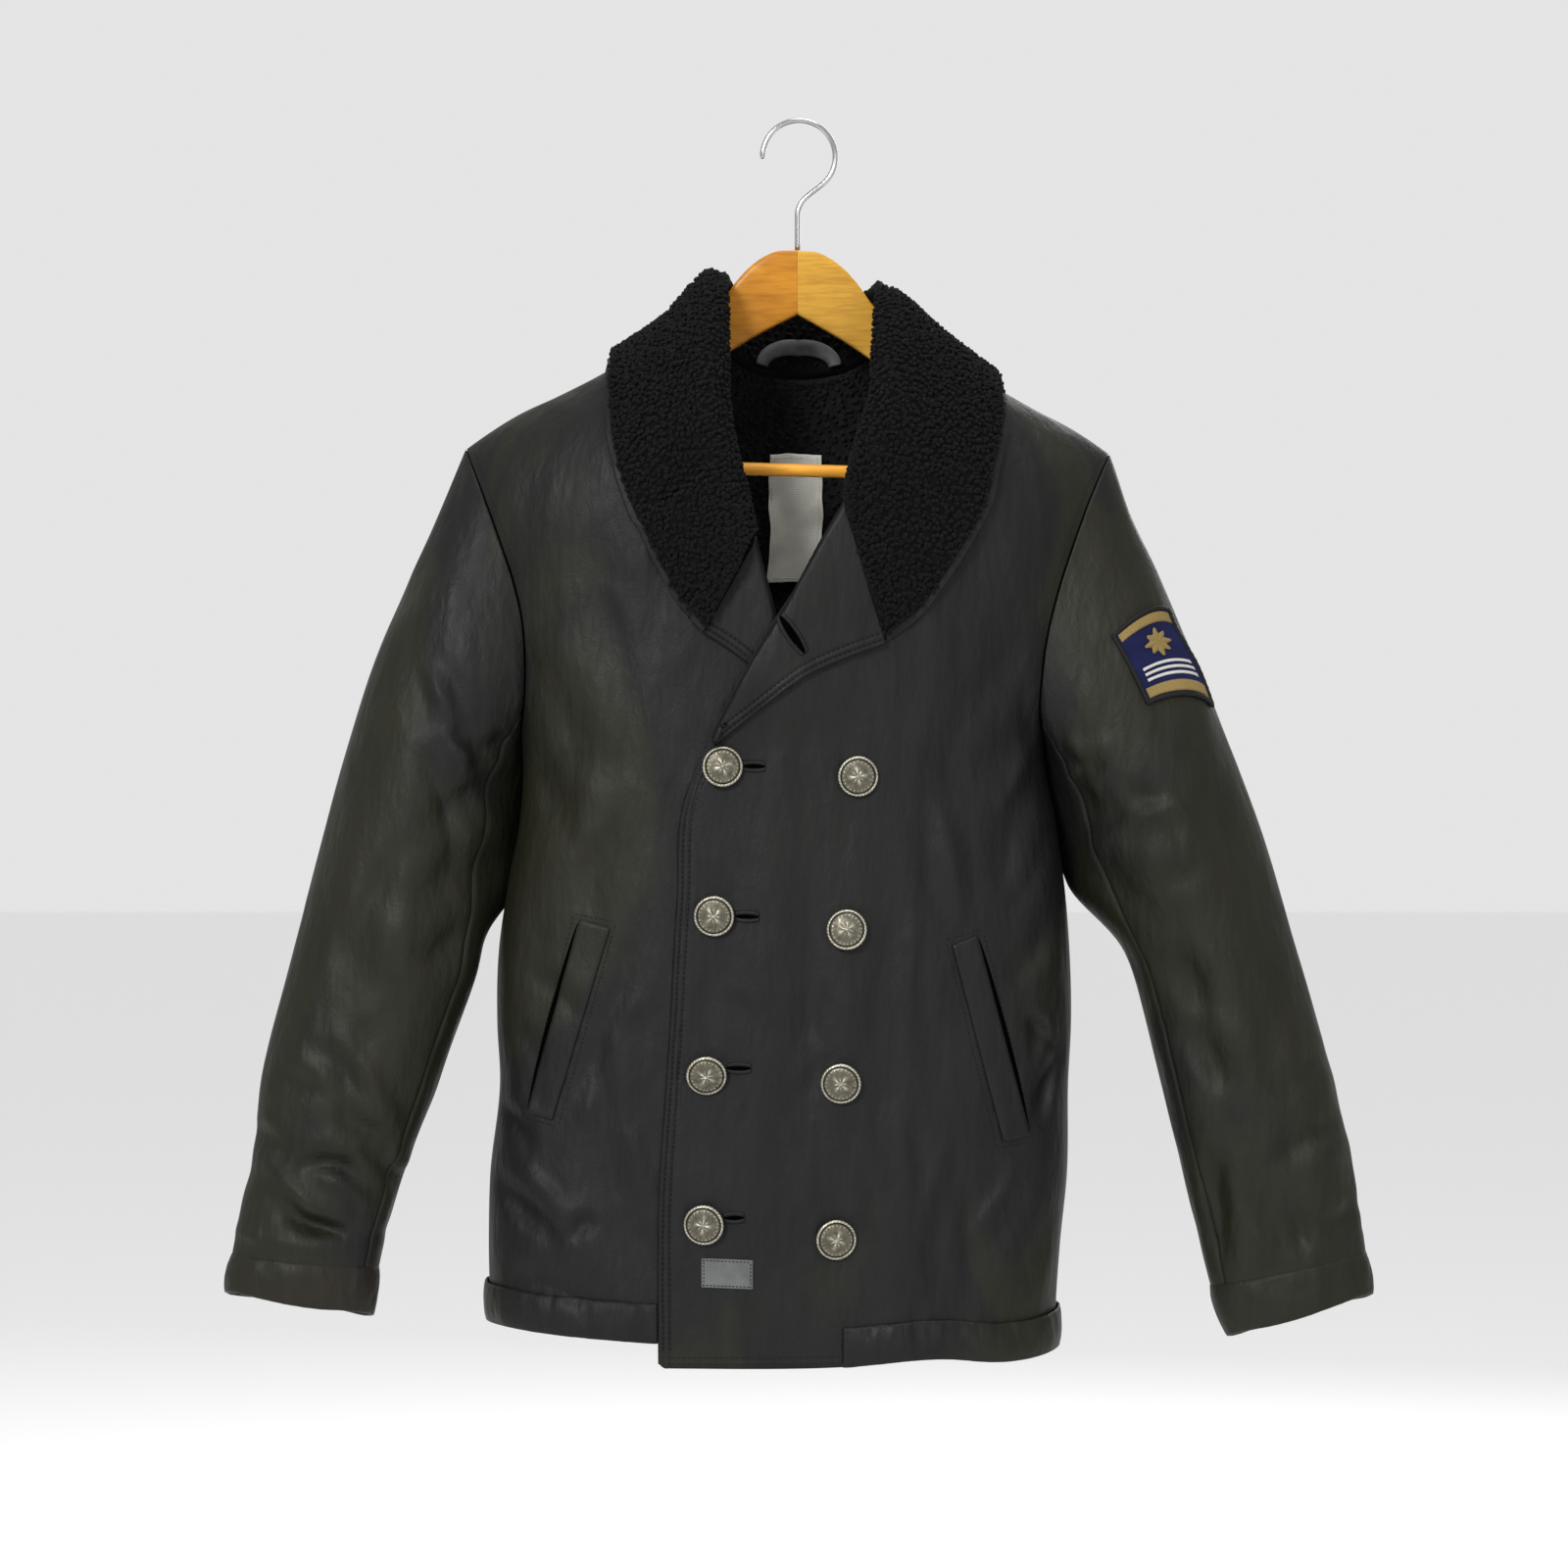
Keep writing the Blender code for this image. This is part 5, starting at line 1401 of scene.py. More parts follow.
def curls(name, surface, u_range, v_range, seed, finish, low=0.2, apart=CURL_APART, grow=1.0):
    """Curled locks of pile over a surface of two parameters. The places are a jittered grid as even
    as the cloth is wide; each lock is a short tube that winds round part of a circle lying on the
    cloth, rising in its middle and thinner at its ends, as big and as far round as chance has it."""
    draw = np.random.default_rng(seed)
    u_fine, v_fine = np.linspace(*u_range, 121), np.linspace(*v_range, 61)
    u_run, v_run = u_range[1] - u_range[0], v_range[1] - v_range[0]
    sample = surface(u_fine, v_fine)
    lengths = np.concatenate([[0], np.cumsum(np.linalg.norm(np.diff(sample, axis=0), axis=-1).mean(axis=1))])
    widths = np.linalg.norm(np.diff(sample, axis=1), axis=-1).sum(axis=1)
    rows = max(1, round(lengths[-1] / (apart * 0.87)))
    places = []
    for row in range(rows):
        v_here = np.interp((row + 0.5) / rows * lengths[-1], lengths, v_fine)
        count = int(np.interp(v_here, v_fine, widths) / apart)
        spots = (np.arange(count) + 0.5 * (row % 2) + 0.25) / count
        places.append(np.stack([spots * u_run + u_range[0], np.full(count, v_here)], axis=-1))
    places = np.concatenate(places)
    places[:, 0] += draw.uniform(-0.3, 0.3, len(places)) * apart / widths.mean() * u_run
    places[:, 1] += draw.uniform(-0.3, 0.3, len(places)) * apart / lengths[-1] * v_run
    places[:, 0] = np.clip(places[:, 0], min(u_range), max(u_range))
    places[:, 1] = np.clip(places[:, 1], min(v_range), max(v_range))
    columns = (places[:, 0] - u_range[0]) / u_run * (len(u_fine) - 1)
    rows = (places[:, 1] - v_range[0]) / v_run * (len(v_fine) - 1)
    centre = between(sample, rows, columns)
    out = unit(between(out_normals(sample), rows, columns))
    first = unit(np.cross(out, draw.normal(size=out.shape)))
    second = np.cross(out, first)
    count = len(centre)
    wind = CURL_WIND * draw.uniform(0.7, 1.35, (count, 1)) * grow
    thick = CURL_THICK * draw.uniform(0.8, 1.25, (count, 1)) * grow
    round_by = draw.uniform(2.2, 5.0, (count, 1)) * draw.choice([-1, 1], (count, 1))
    lift = draw.uniform(0.0, 0.55, (count, 1)) + low
    share = np.linspace(0, 1, CURL_STEPS)[None, :]
    angle = round_by * share
    path = (
        centre[:, None, :]
        + first[:, None, :] * (wind * np.cos(angle) * (1 - 0.25 * share))[..., None]
        + second[:, None, :] * (wind * np.sin(angle) * (1 - 0.25 * share))[..., None]
        + out[:, None, :] * (lift + 0.9 * grow * np.sin(math.pi * share))[..., None]
    )
    run = unit(np.gradient(path, axis=1))
    side = unit(np.cross(out[:, None, :] + 0 * run, run))
    top = np.cross(run, side)
    radius = thick * (0.55 + 0.45 * np.sin(math.pi * share) ** 0.5)
    ring = np.linspace(0, math.tau, CURL_SIDES, endpoint=False)
    locks = (
        path[:, :, None, :]
        + side[:, :, None, :] * (radius[..., None] * np.cos(ring))[..., None]
        + top[:, :, None, :] * (radius[..., None] * np.sin(ring))[..., None]
    )
    index = np.arange(count * CURL_STEPS * CURL_SIDES).reshape(count, CURL_STEPS, CURL_SIDES)
    made = mesh_of(name, locks.reshape(-1, 3), tube_faces(index), finish)
    return made


def collar_top(along, across):
    """The whole collar's upper side at these places: along from -1 to 1, across from foot to edge."""
    along = np.asarray(along, float)
    right = collar_grid("right", np.abs(along), across).transpose(1, 0, 2)
    left = collar_grid("left", np.abs(along), across).transpose(1, 0, 2)
    return np.where((along < 0)[None, :, None], right, left)


def make_collar():
    """The collar: a thick ground with a rounded outer edge, its curled pile, and the leather under
    its fall, which shows as a thin edge."""
    along = np.linspace(-1, 1, 181)
    across = np.concatenate([np.linspace(0, 0.94, 36), [0.955, 0.97, 0.98, 0.987]])
    grid = collar_top(along, across)
    rounded = -1.6 * np.exp(-(((across[-1] - across) / 0.012) ** 2))[:, None, None]
    uneven = 0.7 * cloud(grid, 11, 3, 2)[..., None]
    ground = moved_out(grid, rounded + uneven - PILE)
    # The ground is painted darker than the curls, as painted shade between them.
    made = wall("collar_ground", ground, FLEECE - PILE, fleece_ground_painted_shade, rim=0.25)
    piles = [
        curls("collar_curls_right", collar_top, (-1.0, -0.003), (0.02, 0.985), 41, fleece, low=0.2 - PILE),
        curls("collar_curls_left", collar_top, (0.003, 1.0), (0.02, 0.985), 43, fleece, low=0.2 - PILE),
    ]
    sewn(made, ["top_collar"])
    across = np.concatenate([np.linspace(0.5, 0.96, 26), [0.98, 1.0]])
    under = moved_out(collar_top(along, across), -(FLEECE + SEAM))
    rim = under[-1:] + COLLAR_RIM * unit(under[-1:] - under[-3:-2])
    beyond = under[-1:] + 0.5 * COLLAR_RIM * unit(under[-1:] - under[-3:-2])
    grid = np.concatenate([under, beyond, rim])
    made = wall("under_collar_shell", grid, UNDER_COLLAR, leather, rim=0.4)
    sewn(made, ["under_collar"])


def make_lapels():
    """The leather ends of the collar: thick folds with a full roll and a pressed, stitched edge."""
    for side, rows in (("right", 46), ("left", 110)):
        stations = np.linspace(0, LAPELS[side][-1][0], rows)
        width = lapel_width(side, stations)
        reach = EDGE_ROWS[None, 4:] / np.maximum(width, 6)[:, None]
        reach = np.minimum(reach, np.linspace(0.6, 0, 15)[None, :])
        turn = np.array([0, 0.8, 1.8, 3, 4.6, 6.6]) / np.maximum(width, 14)[:, None]
        middle = np.linspace(0, 1, 26)[1:-1][None, :]
        middle = turn[:, -1:] + (1 - reach[:, :1] - turn[:, -1:]) * middle
        shares = np.concatenate([turn, middle, 1 - reach], axis=1)
        grid = lapel_grid(side, stations, shares)
        far, near = (1 - shares) * width[:, None], shares * width[:, None]
        relief = pressed(far) - 2.6 * np.exp(-((near / 2.4) ** 2)) + 0.5 * cloud(grid, 50, 61, 2)
        grid[..., 1] -= relief
        grid = grid[:, ::-1][::-1] if side == "right" else grid[::-1]
        made = wall(f"lapel_{side}_fold", grid, LAPEL, leather, rim=0.25)
        sewn(made, [f"lapel_{side}"])


# The fleece inside the neck: the rows of the back above the armpits and the columns at each side that
# it leaves out, and how far apart and how big its curls are.
LINING_UP = 5
LINING_SIDES = 23
LINING_CURL_APART = 6.4
LINING_CURL_GROW = 0.95


def make_neck_lining():
    """The fleece inside the back of the neck: a wall laid inside the back, with its pile."""
    inside = moved_out(back_grid(), -(LEATHER + LINING_GAP))
    lining = inside[LOW_ROWS + LINING_UP : -1, LINING_SIDES:-LINING_SIDES]
    # The lining's ground and curls are painted lighter than the collar's fleece, as painted light in the
    # neck's shadow.
    made = wall("neck_lining_ground", lining, LINING, lining_fleece_painted_light)
    face = moved_out(lining, -LINING)[:, ::-1]

    def lining_face(u, v):
        rows = v[:, None] * (face.shape[0] - 1) + 0 * u
        columns = u[None, :] * (face.shape[1] - 1) + 0 * v[:, None]
        return between(face, rows, columns)

    pile = curls(
        "neck_lining_curls", lining_face, (0.0, 1.0), (0.1, 1.0), 53, lining_fleece_painted_light,
        low=-0.2, apart=LINING_CURL_APART, grow=LINING_CURL_GROW,
    )
    sewn(made, ["neck_lining"])


def make_loop():
    """The hanging loop: half a ring of ribbon on the collar's stand, arched across its width."""
    turn = np.linspace(0, math.pi, 61)[:, None]
    share = np.linspace(0, 1, 9)[None, :]
    along = -(LOOP_INNER[0] + (LOOP_OUTER[0] - LOOP_INNER[0]) * share) * np.cos(turn)
    across = (LOOP_INNER[1] + (LOOP_OUTER[1] - LOOP_INNER[1]) * share) * np.sin(turn)
    arched = 1.2 * np.sin(math.pi * share)[..., None]
    band = moved_out(collar_points(along, across), -(OFF_STAND + 1.6) - arched)
    made = wall("hanging_loop_band", band, LOOP, satin, rim=0.3)
    sewn(made, ["hanging_loop"])


def box_grid(box, columns, rows):
    """Places across and up over a box, given by its lower left and upper right corners."""
    (left, low), (right, high) = box
    return np.meshgrid(np.linspace(left, right, columns), np.linspace(low, high, rows))


def make_care_label():
    """The label inside the neck, hanging off the fleece, its long sides a little wavy."""
    x, z = box_grid(LABEL_BOX, 30, 70)
    x = x + 0.5 * np.sin(z / 7.0) + 0.02 * (z - LABEL_BOX[0][1])
    label = back_surface(x, z)
    edge = np.minimum(x - x.min(axis=1, keepdims=True), x.max(axis=1, keepdims=True) - x)
    curl = 1.4 * np.sin(z / 11.0) * ease(14, 0, edge)
    label[..., 1] += curl + 0.7 * cloud(np.stack([x, z], axis=-1), 40, 71, 2)
    hollow = LEATHER + LINING_GAP + LINING + OFF_LINING + 2.6
    grid = moved_out(label, hollow + LABEL)
    made = wall("care_label_cloth", grid, 0.6, cream, rim=0.3)
    sewn(made, ["care_label"])
    rim = [(grid[:, 2], -1), (grid[:, -3], -1), (grid[-3], -1), (grid[2], -1)]
    stitches("care_label_stitches", rim, cream, 3.0)


def collar_points(along, across):
    """Points of the collar's upper side where along and across are arrays of one shape."""
    reach, high = 0.2, 0.3
    sample = collar_top(np.linspace(-reach, reach, 81), np.linspace(0, high, 61))
    return between(sample, across / high * 60, (along + reach) / (2 * reach) * 80)


# A stitch: its length, how far apart stitches start, how thick the thread is.
STITCH_LONG = 2.7
STITCH_APART = 3.7
THREAD = 0.36


def stitches(name, lines, finish, apart=STITCH_APART, long=STITCH_LONG, lift=0.12):
    """A row of stitches along each line: short four-sided capsules that follow it, thick in the
    middle and sunk at both ends. A line is its points and the way its cloth faces in y."""
    share = np.array([-1.0, -0.55, 0.55, 1.0])
    thick = np.array([0.35, 1.0, 1.0, 0.35]) * THREAD
    ring = np.linspace(0, math.tau, 4, endpoint=False)
    blocks = []
    for points, facing in lines:
        points = np.asarray(points, float)
        far = np.concatenate([[0], np.cumsum(np.linalg.norm(np.diff(points, axis=0), axis=-1))])
        starts = np.arange(apart / 2, far[-1] - apart / 2, apart)
        spots = (starts[:, None] + share[None, :] * long / 2).ravel()
        path = np.stack([np.interp(spots, far, points[:, k]) for k in range(3)], axis=-1)
        path = path.reshape(len(starts), 4, 3)
        run = unit(path[:, -1] - path[:, 0])[:, None, :]
        out = np.array([0.0, facing, 0.0]) if np.ndim(facing) == 0 else np.asarray(facing)
        out = unit(out - (run @ out)[..., None] * run)
        side = np.cross(out, run)
        path = path + out * lift * np.array([-1.0, 1.0, 1.0, -1.0])[None, :, None]
        blocks.append(
            path[:, :, None, :]
            + (side[:, :, None, :] * np.cos(ring)[:, None] + out[:, :, None, :] * np.sin(ring)[:, None])
            * thick[None, :, None, None]
        )
    tubes = np.concatenate(blocks)
    index = np.arange(tubes.size // 3).reshape(-1, 4, 4)
    return mesh_of(name, tubes.reshape(-1, 3), tube_faces(index), finish)


def edge_line(side, far, low, high, count=240):
    """The line that lies so far inside a front's free edge, between two heights."""
    z = np.linspace(low, high, count)
    x = column(EDGES[side], 0, 1, z)
    lean = np.gradient(x, z)
    x = x + (far if side == "left" else -far) * np.sqrt(1 + lean**2)
    return front_surface(x, z, side)


# How far up the armhole its stitching starts, in front and behind, and where it ends.
ARMHOLE_STITCHED = {"front": (0.53, 0.985), "back": (0.04, 0.985)}


def armhole_line(side, far, surface):
    """The line that lies so far inside the armhole seam, on a front or on the back."""
    rise = np.linspace(*ARMHOLE_STITCHED["back" if surface is back_surface else "front"], 200)
    x, z = armhole(rise, side)
    way = 1 if side == "right" else -1
    return surface(x + way * far, z)


def strip(name, line_low, line_high, finish, lift, thickness, rows=6):
    """A flat strip between two lines of points, lifted off in y, its long sides rounded down."""
    share = np.linspace(0, 1, rows)[:, None, None]
    grid = line_low[None] * (1 - share) + line_high[None] * share
    crown = np.sin(math.pi * share[..., 0]) ** 0.5
    grid = grid + np.array([0, -1.0, 0]) * (lift * (0.25 + 0.75 * crown))[..., None]
    made = wall(name, grid, thickness, finish)


# The piped buttonholes of the left front and of its lapel: the two ends of each slit.
BUTTONHOLES = (
    # from across, from height, to across, to height
    (-38.5, -459.6, -22.8, -459.8),
    (-44.0, -564.4, -27.2, -564.8),
    (-49.8, -670.6, -32.6, -670.4),
    (-51.6, -775.0, -37.4, -774.6),
)
LAPEL_BUTTONHOLE = (-12.5, -355.0, 5.0, -381.0)
PIPING = 3.1
SLIT = 2.6


def buttonhole(name, ends, surface, slit=SLIT):
    """A piped buttonhole: two rounded lips of leather that bow apart round a slit, whose shade is painted as
    a black strip; all three strips on the cloth's own points."""
    x0, z0, x1, z1 = ends
    share = np.linspace(0, 1, 34)
    run = np.array([x1 - x0, z1 - z0])
    across = np.array([-run[1], run[0]]) / np.hypot(*run)
    bow = np.sin(math.pi * share) ** 0.6

    def line(off):
        x = x0 + run[0] * share + across[0] * off
        z = z0 + run[1] * share + across[1] * off
        return surface(x, z)

    for way, place in ((1, "upper"), (-1, "lower")):
        inner, outer = way * bow * slit / 2, way * (bow * slit / 2 + PIPING)
        lines = [line(inner), line(outer)] if way > 0 else [line(outer), line(inner)]
        strip(f"{name}_{place}_lip", *lines, piping_leather, 1.5, 1.0, rows=9)
    # The slit between the lips is a black strip, painted shade.
    strip(f"{name}_slit", line(-slit * 0.55 * bow), line(slit * 0.55 * bow), dark_slit_painted_shade, 0.35, 0.3)


# A welt: how far its stitching lies outside it, and how far its slot gapes in the middle.
WELT_STITCHING = 4.2
WELT_GAPE = 3.8


def make_welts():
    """The pocket welts, their edges turned down, each with a slot that bows open along its outer side, its
    shade painted as a black strip, and a row of stitches round it."""
    lines = []
    shares = np.concatenate([[0, 0.03, 0.08, 0.15], np.linspace(0.24, 0.76, 7), [0.85, 0.92, 0.97, 1]])
    lengths = np.concatenate([[0, 0.004, 0.01, 0.02], np.linspace(0.035, 0.965, 60), [0.98, 0.99, 0.996, 1]])
    shares, lengths = shares[None, :], lengths[:, None]
    for side, (a, b, c, d) in WELT_CORNERS.items():
        lefts, rights = ((d, a), (c, b)) if side == "right" else ((c, b), (d, a))

        def corner_points(out_by, s, t, lefts=lefts, rights=rights, side=side):
            low = [lefts[0][k] * (1 - s) + rights[0][k] * s for k in (0, 1)]
            high = [lefts[1][k] * (1 - s) + rights[1][k] * s for k in (0, 1)]
            x, z = (low[k] * (1 - t) + high[k] * t for k in (0, 1))
            x = x + out_by * (2 * s - 1)
            z = z + out_by * (2 * t - 1)
            return front_surface(x, z, side)

        grid = corner_points(0.0, shares, lengths)
        lift = LEATHER + SEAM + 0.2 - 0.9 * np.exp(-((np.minimum(shares, 1 - shares) / 0.05) ** 2))
        lift = lift - 0.9 * np.exp(-((np.minimum(lengths, 1 - lengths) / 0.006) ** 2))
        grid = moved_out(grid, lift[..., None])
        made = wall(f"welt_{side}_piece", grid, LEATHER, leather, rim=0.3)
        sewn(made, [f"welt_{side}"])
        t = np.linspace(0, 1, 80)
        for s in (0.0, 1.0):
            lines.append((corner_points(WELT_STITCHING, np.full(80, s), t), -1))
        for end in (0.0, 1.0):
            lines.append((corner_points(WELT_STITCHING, np.linspace(0, 1, 20), np.full(20, end)), -1))
        outer = 1.0 if side == "left" else 0.0
        way = 1 if side == "left" else -1
        t = np.linspace(0.02, 0.98, 90)
        gape = np.sin(math.pi * t) ** 0.5 * WELT_GAPE
        edge = corner_points(0.0, np.full(90, outer), t)
        far = edge + np.array([way, 0, 0]) * gape[:, None]
        far = front_surface(far[:, 0], far[:, 2], side)
        pair = (edge, far) if way > 0 else (far, edge)
        # The slot is a black strip, painted shade for the pocket's opening.
        strip(f"welt_{side}_slot", pair[1], pair[0], dark_slit_painted_shade, 0.9, 0.3)
    stitches("welt_stitches", lines, black_thread)


def make_front_label():
    """The small label on the left front, a little aslant, sewn on all round."""
    x, z = box_grid(FRONT_LABEL_BOX, 26, 16)
    z = z - 0.04 * (x - x[0, 0])
    uneven = 0.15 * cloud(np.stack([x, z], axis=-1), 14, 83, 2)[..., None]
    grid = moved_out(left_front(x, z), LABEL + SEAM + uneven)
    made = wall("front_label_cloth", grid, LABEL, grey_cloth, rim=0.2)
    sewn(made, ["front_label"])
    rim = [(grid[1], -1), (grid[-2], -1), (grid[:, 1], -1), (grid[:, -2], -1)]
    made = stitches("front_label_stitches", rim, black_thread, 2.6, 1.9)


def make_buttonholes():
    """The piped buttonholes of the left front, and the wider one of its lapel."""
    for number, ends in enumerate(BUTTONHOLES, start=1):
        buttonhole(f"buttonhole_{number}", ends, left_front)
    buttonhole("lapel_buttonhole", LAPEL_BUTTONHOLE, lapel_face, slit=5.0)


def lapel_face(x, z):
    """The left lapel's upper side at any place across and up, above the front that it lies on."""
    last = LAPEL_LEFT[-1][0]
    stations = np.linspace(0, last, 41)
    roll_x, roll_z, edge_x, edge_z = (column(LAPEL_LEFT, 0, k, stations) for k in range(1, 5))
    roll, edge = np.stack([roll_x, roll_z], axis=-1), np.stack([edge_x, edge_z], axis=-1)
    at = np.stack([x, z], axis=-1)[..., None, :]
    run = edge - roll
    share = np.clip(((at - roll) * run).sum(-1) / (run**2).sum(-1), 0.02, 0.98)
    off = np.linalg.norm(roll + share[..., None] * run - at, axis=-1)
    best = off.argmin(axis=-1)
    near = np.take_along_axis(share, best[..., None], axis=-1)[..., 0]
    lift = lapel_lift(1 - stations[best] / last, near)
    return front_surface(x, z, "left") + np.array([0, -1, 0]) * lift[..., None]


def make_topstitching():
    """The rows of stitches that hold the edges and seams down."""
    low_left = column(HEM_LEFT, 0, 1, -90)
    rows = []
    for far in STITCH_ROWS:
        rows.append((edge_line("left", far, low_left + 12, -452), -1))
    x = np.linspace(-92, 31, 120)
    for up in (3.2, 7.6):
        rows.append((left_front(x, column(HEM_LEFT, 0, 1, x) + up), -1))
    z = np.linspace(column(HEM_LEFT, 0, 1, 32) + 3, column(HEM_LEFT, 0, 1, 32) + HEM_BAND + 2, 20)
    rows.append((left_front(np.full(20, 31.0), z), -1))
    for side in ("right", "left"):
        surface = right_front if side == "right" else left_front
        rows.append((armhole_line(side, 4.2, surface), -1))
        rows.append((armhole_line(side, 4.2, back_surface), 1))
    stitches("topstitching", rows, black_thread)
    lines = []
    for side, stations in (("left", np.linspace(0.05, 3.9, 150)), ("right", np.linspace(0.03, 1.8, 60))):
        width = lapel_width(side, stations)
        for far in STITCH_ROWS:
            share = np.clip(1 - far / width, 0.3, 1)
            grid = lapel_grid(side, stations, share[:, None])[:, 0]
            lines.append((grid - np.array([0, 0.1, 0]), -1))
    stitches("lapel_stitches", lines, black_thread)


# The part of the left sleeve that the badge is read off: from one station to another and from one
# angle to another, each with its number of places.
SKIN_STATIONS = (1.4, 3.3, 150)
SKIN_ANGLES = (10, 90, 120)


def patch_face(u, v, lift=0.0):
    """Places on the badge, u from its front edge round to its outer one and v from its top down,
    both 0 to 1, read off the sleeve's surface and lifted off it."""
    skin = sleeve_surface("left", np.linspace(*SKIN_STATIONS), np.linspace(*SKIN_ANGLES))
    station = PATCH_STATION + PATCH_LONG * (2 * v - 1) + PATCH_SLANT * (1 - 2 * u)
    angle = PATCH_ANGLE + PATCH_WIDE * (1 - 2 * u)
    rows, columns = (
        (place - start) / (end - start) * (count - 1)
        for place, (start, end, count) in ((station, SKIN_STATIONS), (angle, SKIN_ANGLES))
    )
    rows, columns = np.broadcast_arrays(rows, columns)
    out = unit(between(out_normals(skin), rows, columns))
    off = PATCH + 0.5 * SEAM + np.broadcast_to(lift, rows.shape)
    return between(skin, rows, columns) + out * off[..., None]


def make_patch():
    """A plain badge: a navy field between two gold bands, a gold eight-pointed star over three white
    bars, and a black corded border. Each piece of embroidery is raised off the cloth under it."""
    u, v = np.linspace(0, 1, 34)[None, :], np.linspace(1, 0, 44)[:, None]
    grid = patch_face(u, v)
    ground = wall("sleeve_patch_field", grid, PATCH, navy_cloth, rim=0.2)

    def raised(name, us, vs, high, finish):
        shape = np.broadcast(us, vs).shape
        down, over = np.linspace(0, 1, shape[0])[:, None], np.linspace(0, 1, shape[1])[None, :]
        from_edge = np.minimum(np.minimum(down, 1 - down), np.minimum(over, 1 - over))
        lift = high * (0.3 + 0.7 * ease(0, 0.12, from_edge))
        made = wall(name, patch_face(us, vs, lift), 0.4, finish)

    across = np.linspace(0.045, 0.955, 50)[None, :]
    for place, start, end in (("top", 0.16, 0.035), ("low", 0.965, 0.84)):
        rows = np.linspace(start, end, 9)[:, None] + 0 * across
        raised(f"sleeve_patch_band_{place}", across, rows, 0.9, gold_thread)
    for number, middle in enumerate((0.62, 0.69, 0.76), start=1):
        rows = np.linspace(middle + 0.018, middle - 0.018, 7)[:, None] + 0 * across
        raised(f"sleeve_patch_bar_{number}", 0.12 + 0.76 * (across - 0.045) / 0.91, rows, 0.8, white_thread)
    turn = np.linspace(0, math.tau, 65)[:-1]
    reach = 0.6 + 0.4 * np.abs(np.cos(4 * turn)) ** 3 * (0.72 + 0.28 * np.cos(2 * turn) ** 2)
    share = np.linspace(1, 0.02, 9)[:, None]
    star_u = 0.5 + 0.24 * reach * np.cos(turn) * share
    star_v = 0.385 + 0.175 * reach * np.sin(turn) * share
    lift = 0.35 + 0.75 * (1 - share) ** 0.5 + 0.3 * np.cos(8 * turn) * share
    star = patch_face(star_u, star_v, lift)
    made = wall("sleeve_patch_star", star, 0.3, gold_thread, ring=True)
    loop = np.concatenate([
        np.stack([np.linspace(0, 1, 40), np.zeros(40)], -1),
        np.stack([np.ones(46), np.linspace(0, 1, 46)], -1),
        np.stack([np.linspace(1, 0, 40), np.ones(40)], -1),
        np.stack([np.zeros(46), np.linspace(1, 0, 46)], -1),
    ])
    keep = np.concatenate([[True], np.linalg.norm(np.diff(loop, axis=0), axis=-1) > 1e-6])
    loop = loop[keep][:-1]
    path = patch_face(loop[:, 0], loop[:, 1], 0.1)
    made = tube("sleeve_patch_border", path, 1.6, badge_border, closed=True, sides=10, cord=0.16)
    sewn(ground, ["sleeve_patch"])


def tube(name, path, radius, finish, closed=False, sides=16, cord=0.0, radii=None):
    """A round bar or wire along a path: rings square to it, kept from twisting by one reference
    direction, ribbed like a cord where cord is above 0, and closed with flat ends if it is open."""
    path = np.asarray(path, float)
    if closed:
        run = unit(np.roll(path, -1, axis=0) - np.roll(path, 1, axis=0))
    else:
        run = unit(np.gradient(path, axis=0))
    guide = np.array([0.0, 1.0, 0.0])
    side = unit(guide - (run @ guide)[:, None] * run)
    top = np.cross(run, side)
    ring = np.linspace(0, math.tau, sides, endpoint=False)
    far = np.arange(len(path))[:, None]
    wide = radius * (1 + cord * np.sin(ring[None, :] * 2 + far * 2.1))
    if radii is not None:
        wide = wide * np.asarray(radii)[:, None]
    points = (
        path[:, None]
        + side[:, None] * (wide * np.cos(ring))[..., None]
        + top[:, None] * (wide * np.sin(ring))[..., None]
    )
    index = np.arange(len(path) * sides).reshape(len(path), sides)
    if closed:
        faces = [grid_faces(np.concatenate([index, index[:1]]), ring=True)]
    else:
        faces = tube_faces(index[None])
    u = np.broadcast_to(np.arange(sides) * math.tau * radius / sides, index.shape)
    v = np.cumsum(np.linalg.norm(np.diff(path, axis=0, prepend=path[:1]), axis=-1))
    v = np.broadcast_to(v[:, None], index.shape)
    return mesh_of(name, points.reshape(-1, 3), faces, finish, np.stack([u, v], axis=-1).reshape(-1, 2))


# How each button leans on its shank: about its upright line and about its level one, in degrees.
BUTTON_LEAN = ((6, -3), (-4, 5), (3, 19), (-7, 8), (4, 3), (-6, -4), (-3, 8), (5, 8))
BUTTON_RINGS = 34
BUTTON_TURNS = 84
BUTTON_BACK = (
    # radius share, height share, from the middle out
    (0.02, -0.05),
    (0.58, -0.05),
    (0.62, 0.10),
    (0.97, 0.16),
    (1.0, 0.22),
)


def button_dome(r):
    """A button's plain dome at its radius share: the cap of a squashed ball."""
    return 0.80 * np.sqrt(np.clip(1 - (r / 1.12) ** 2, 0, 1)) + 0.06


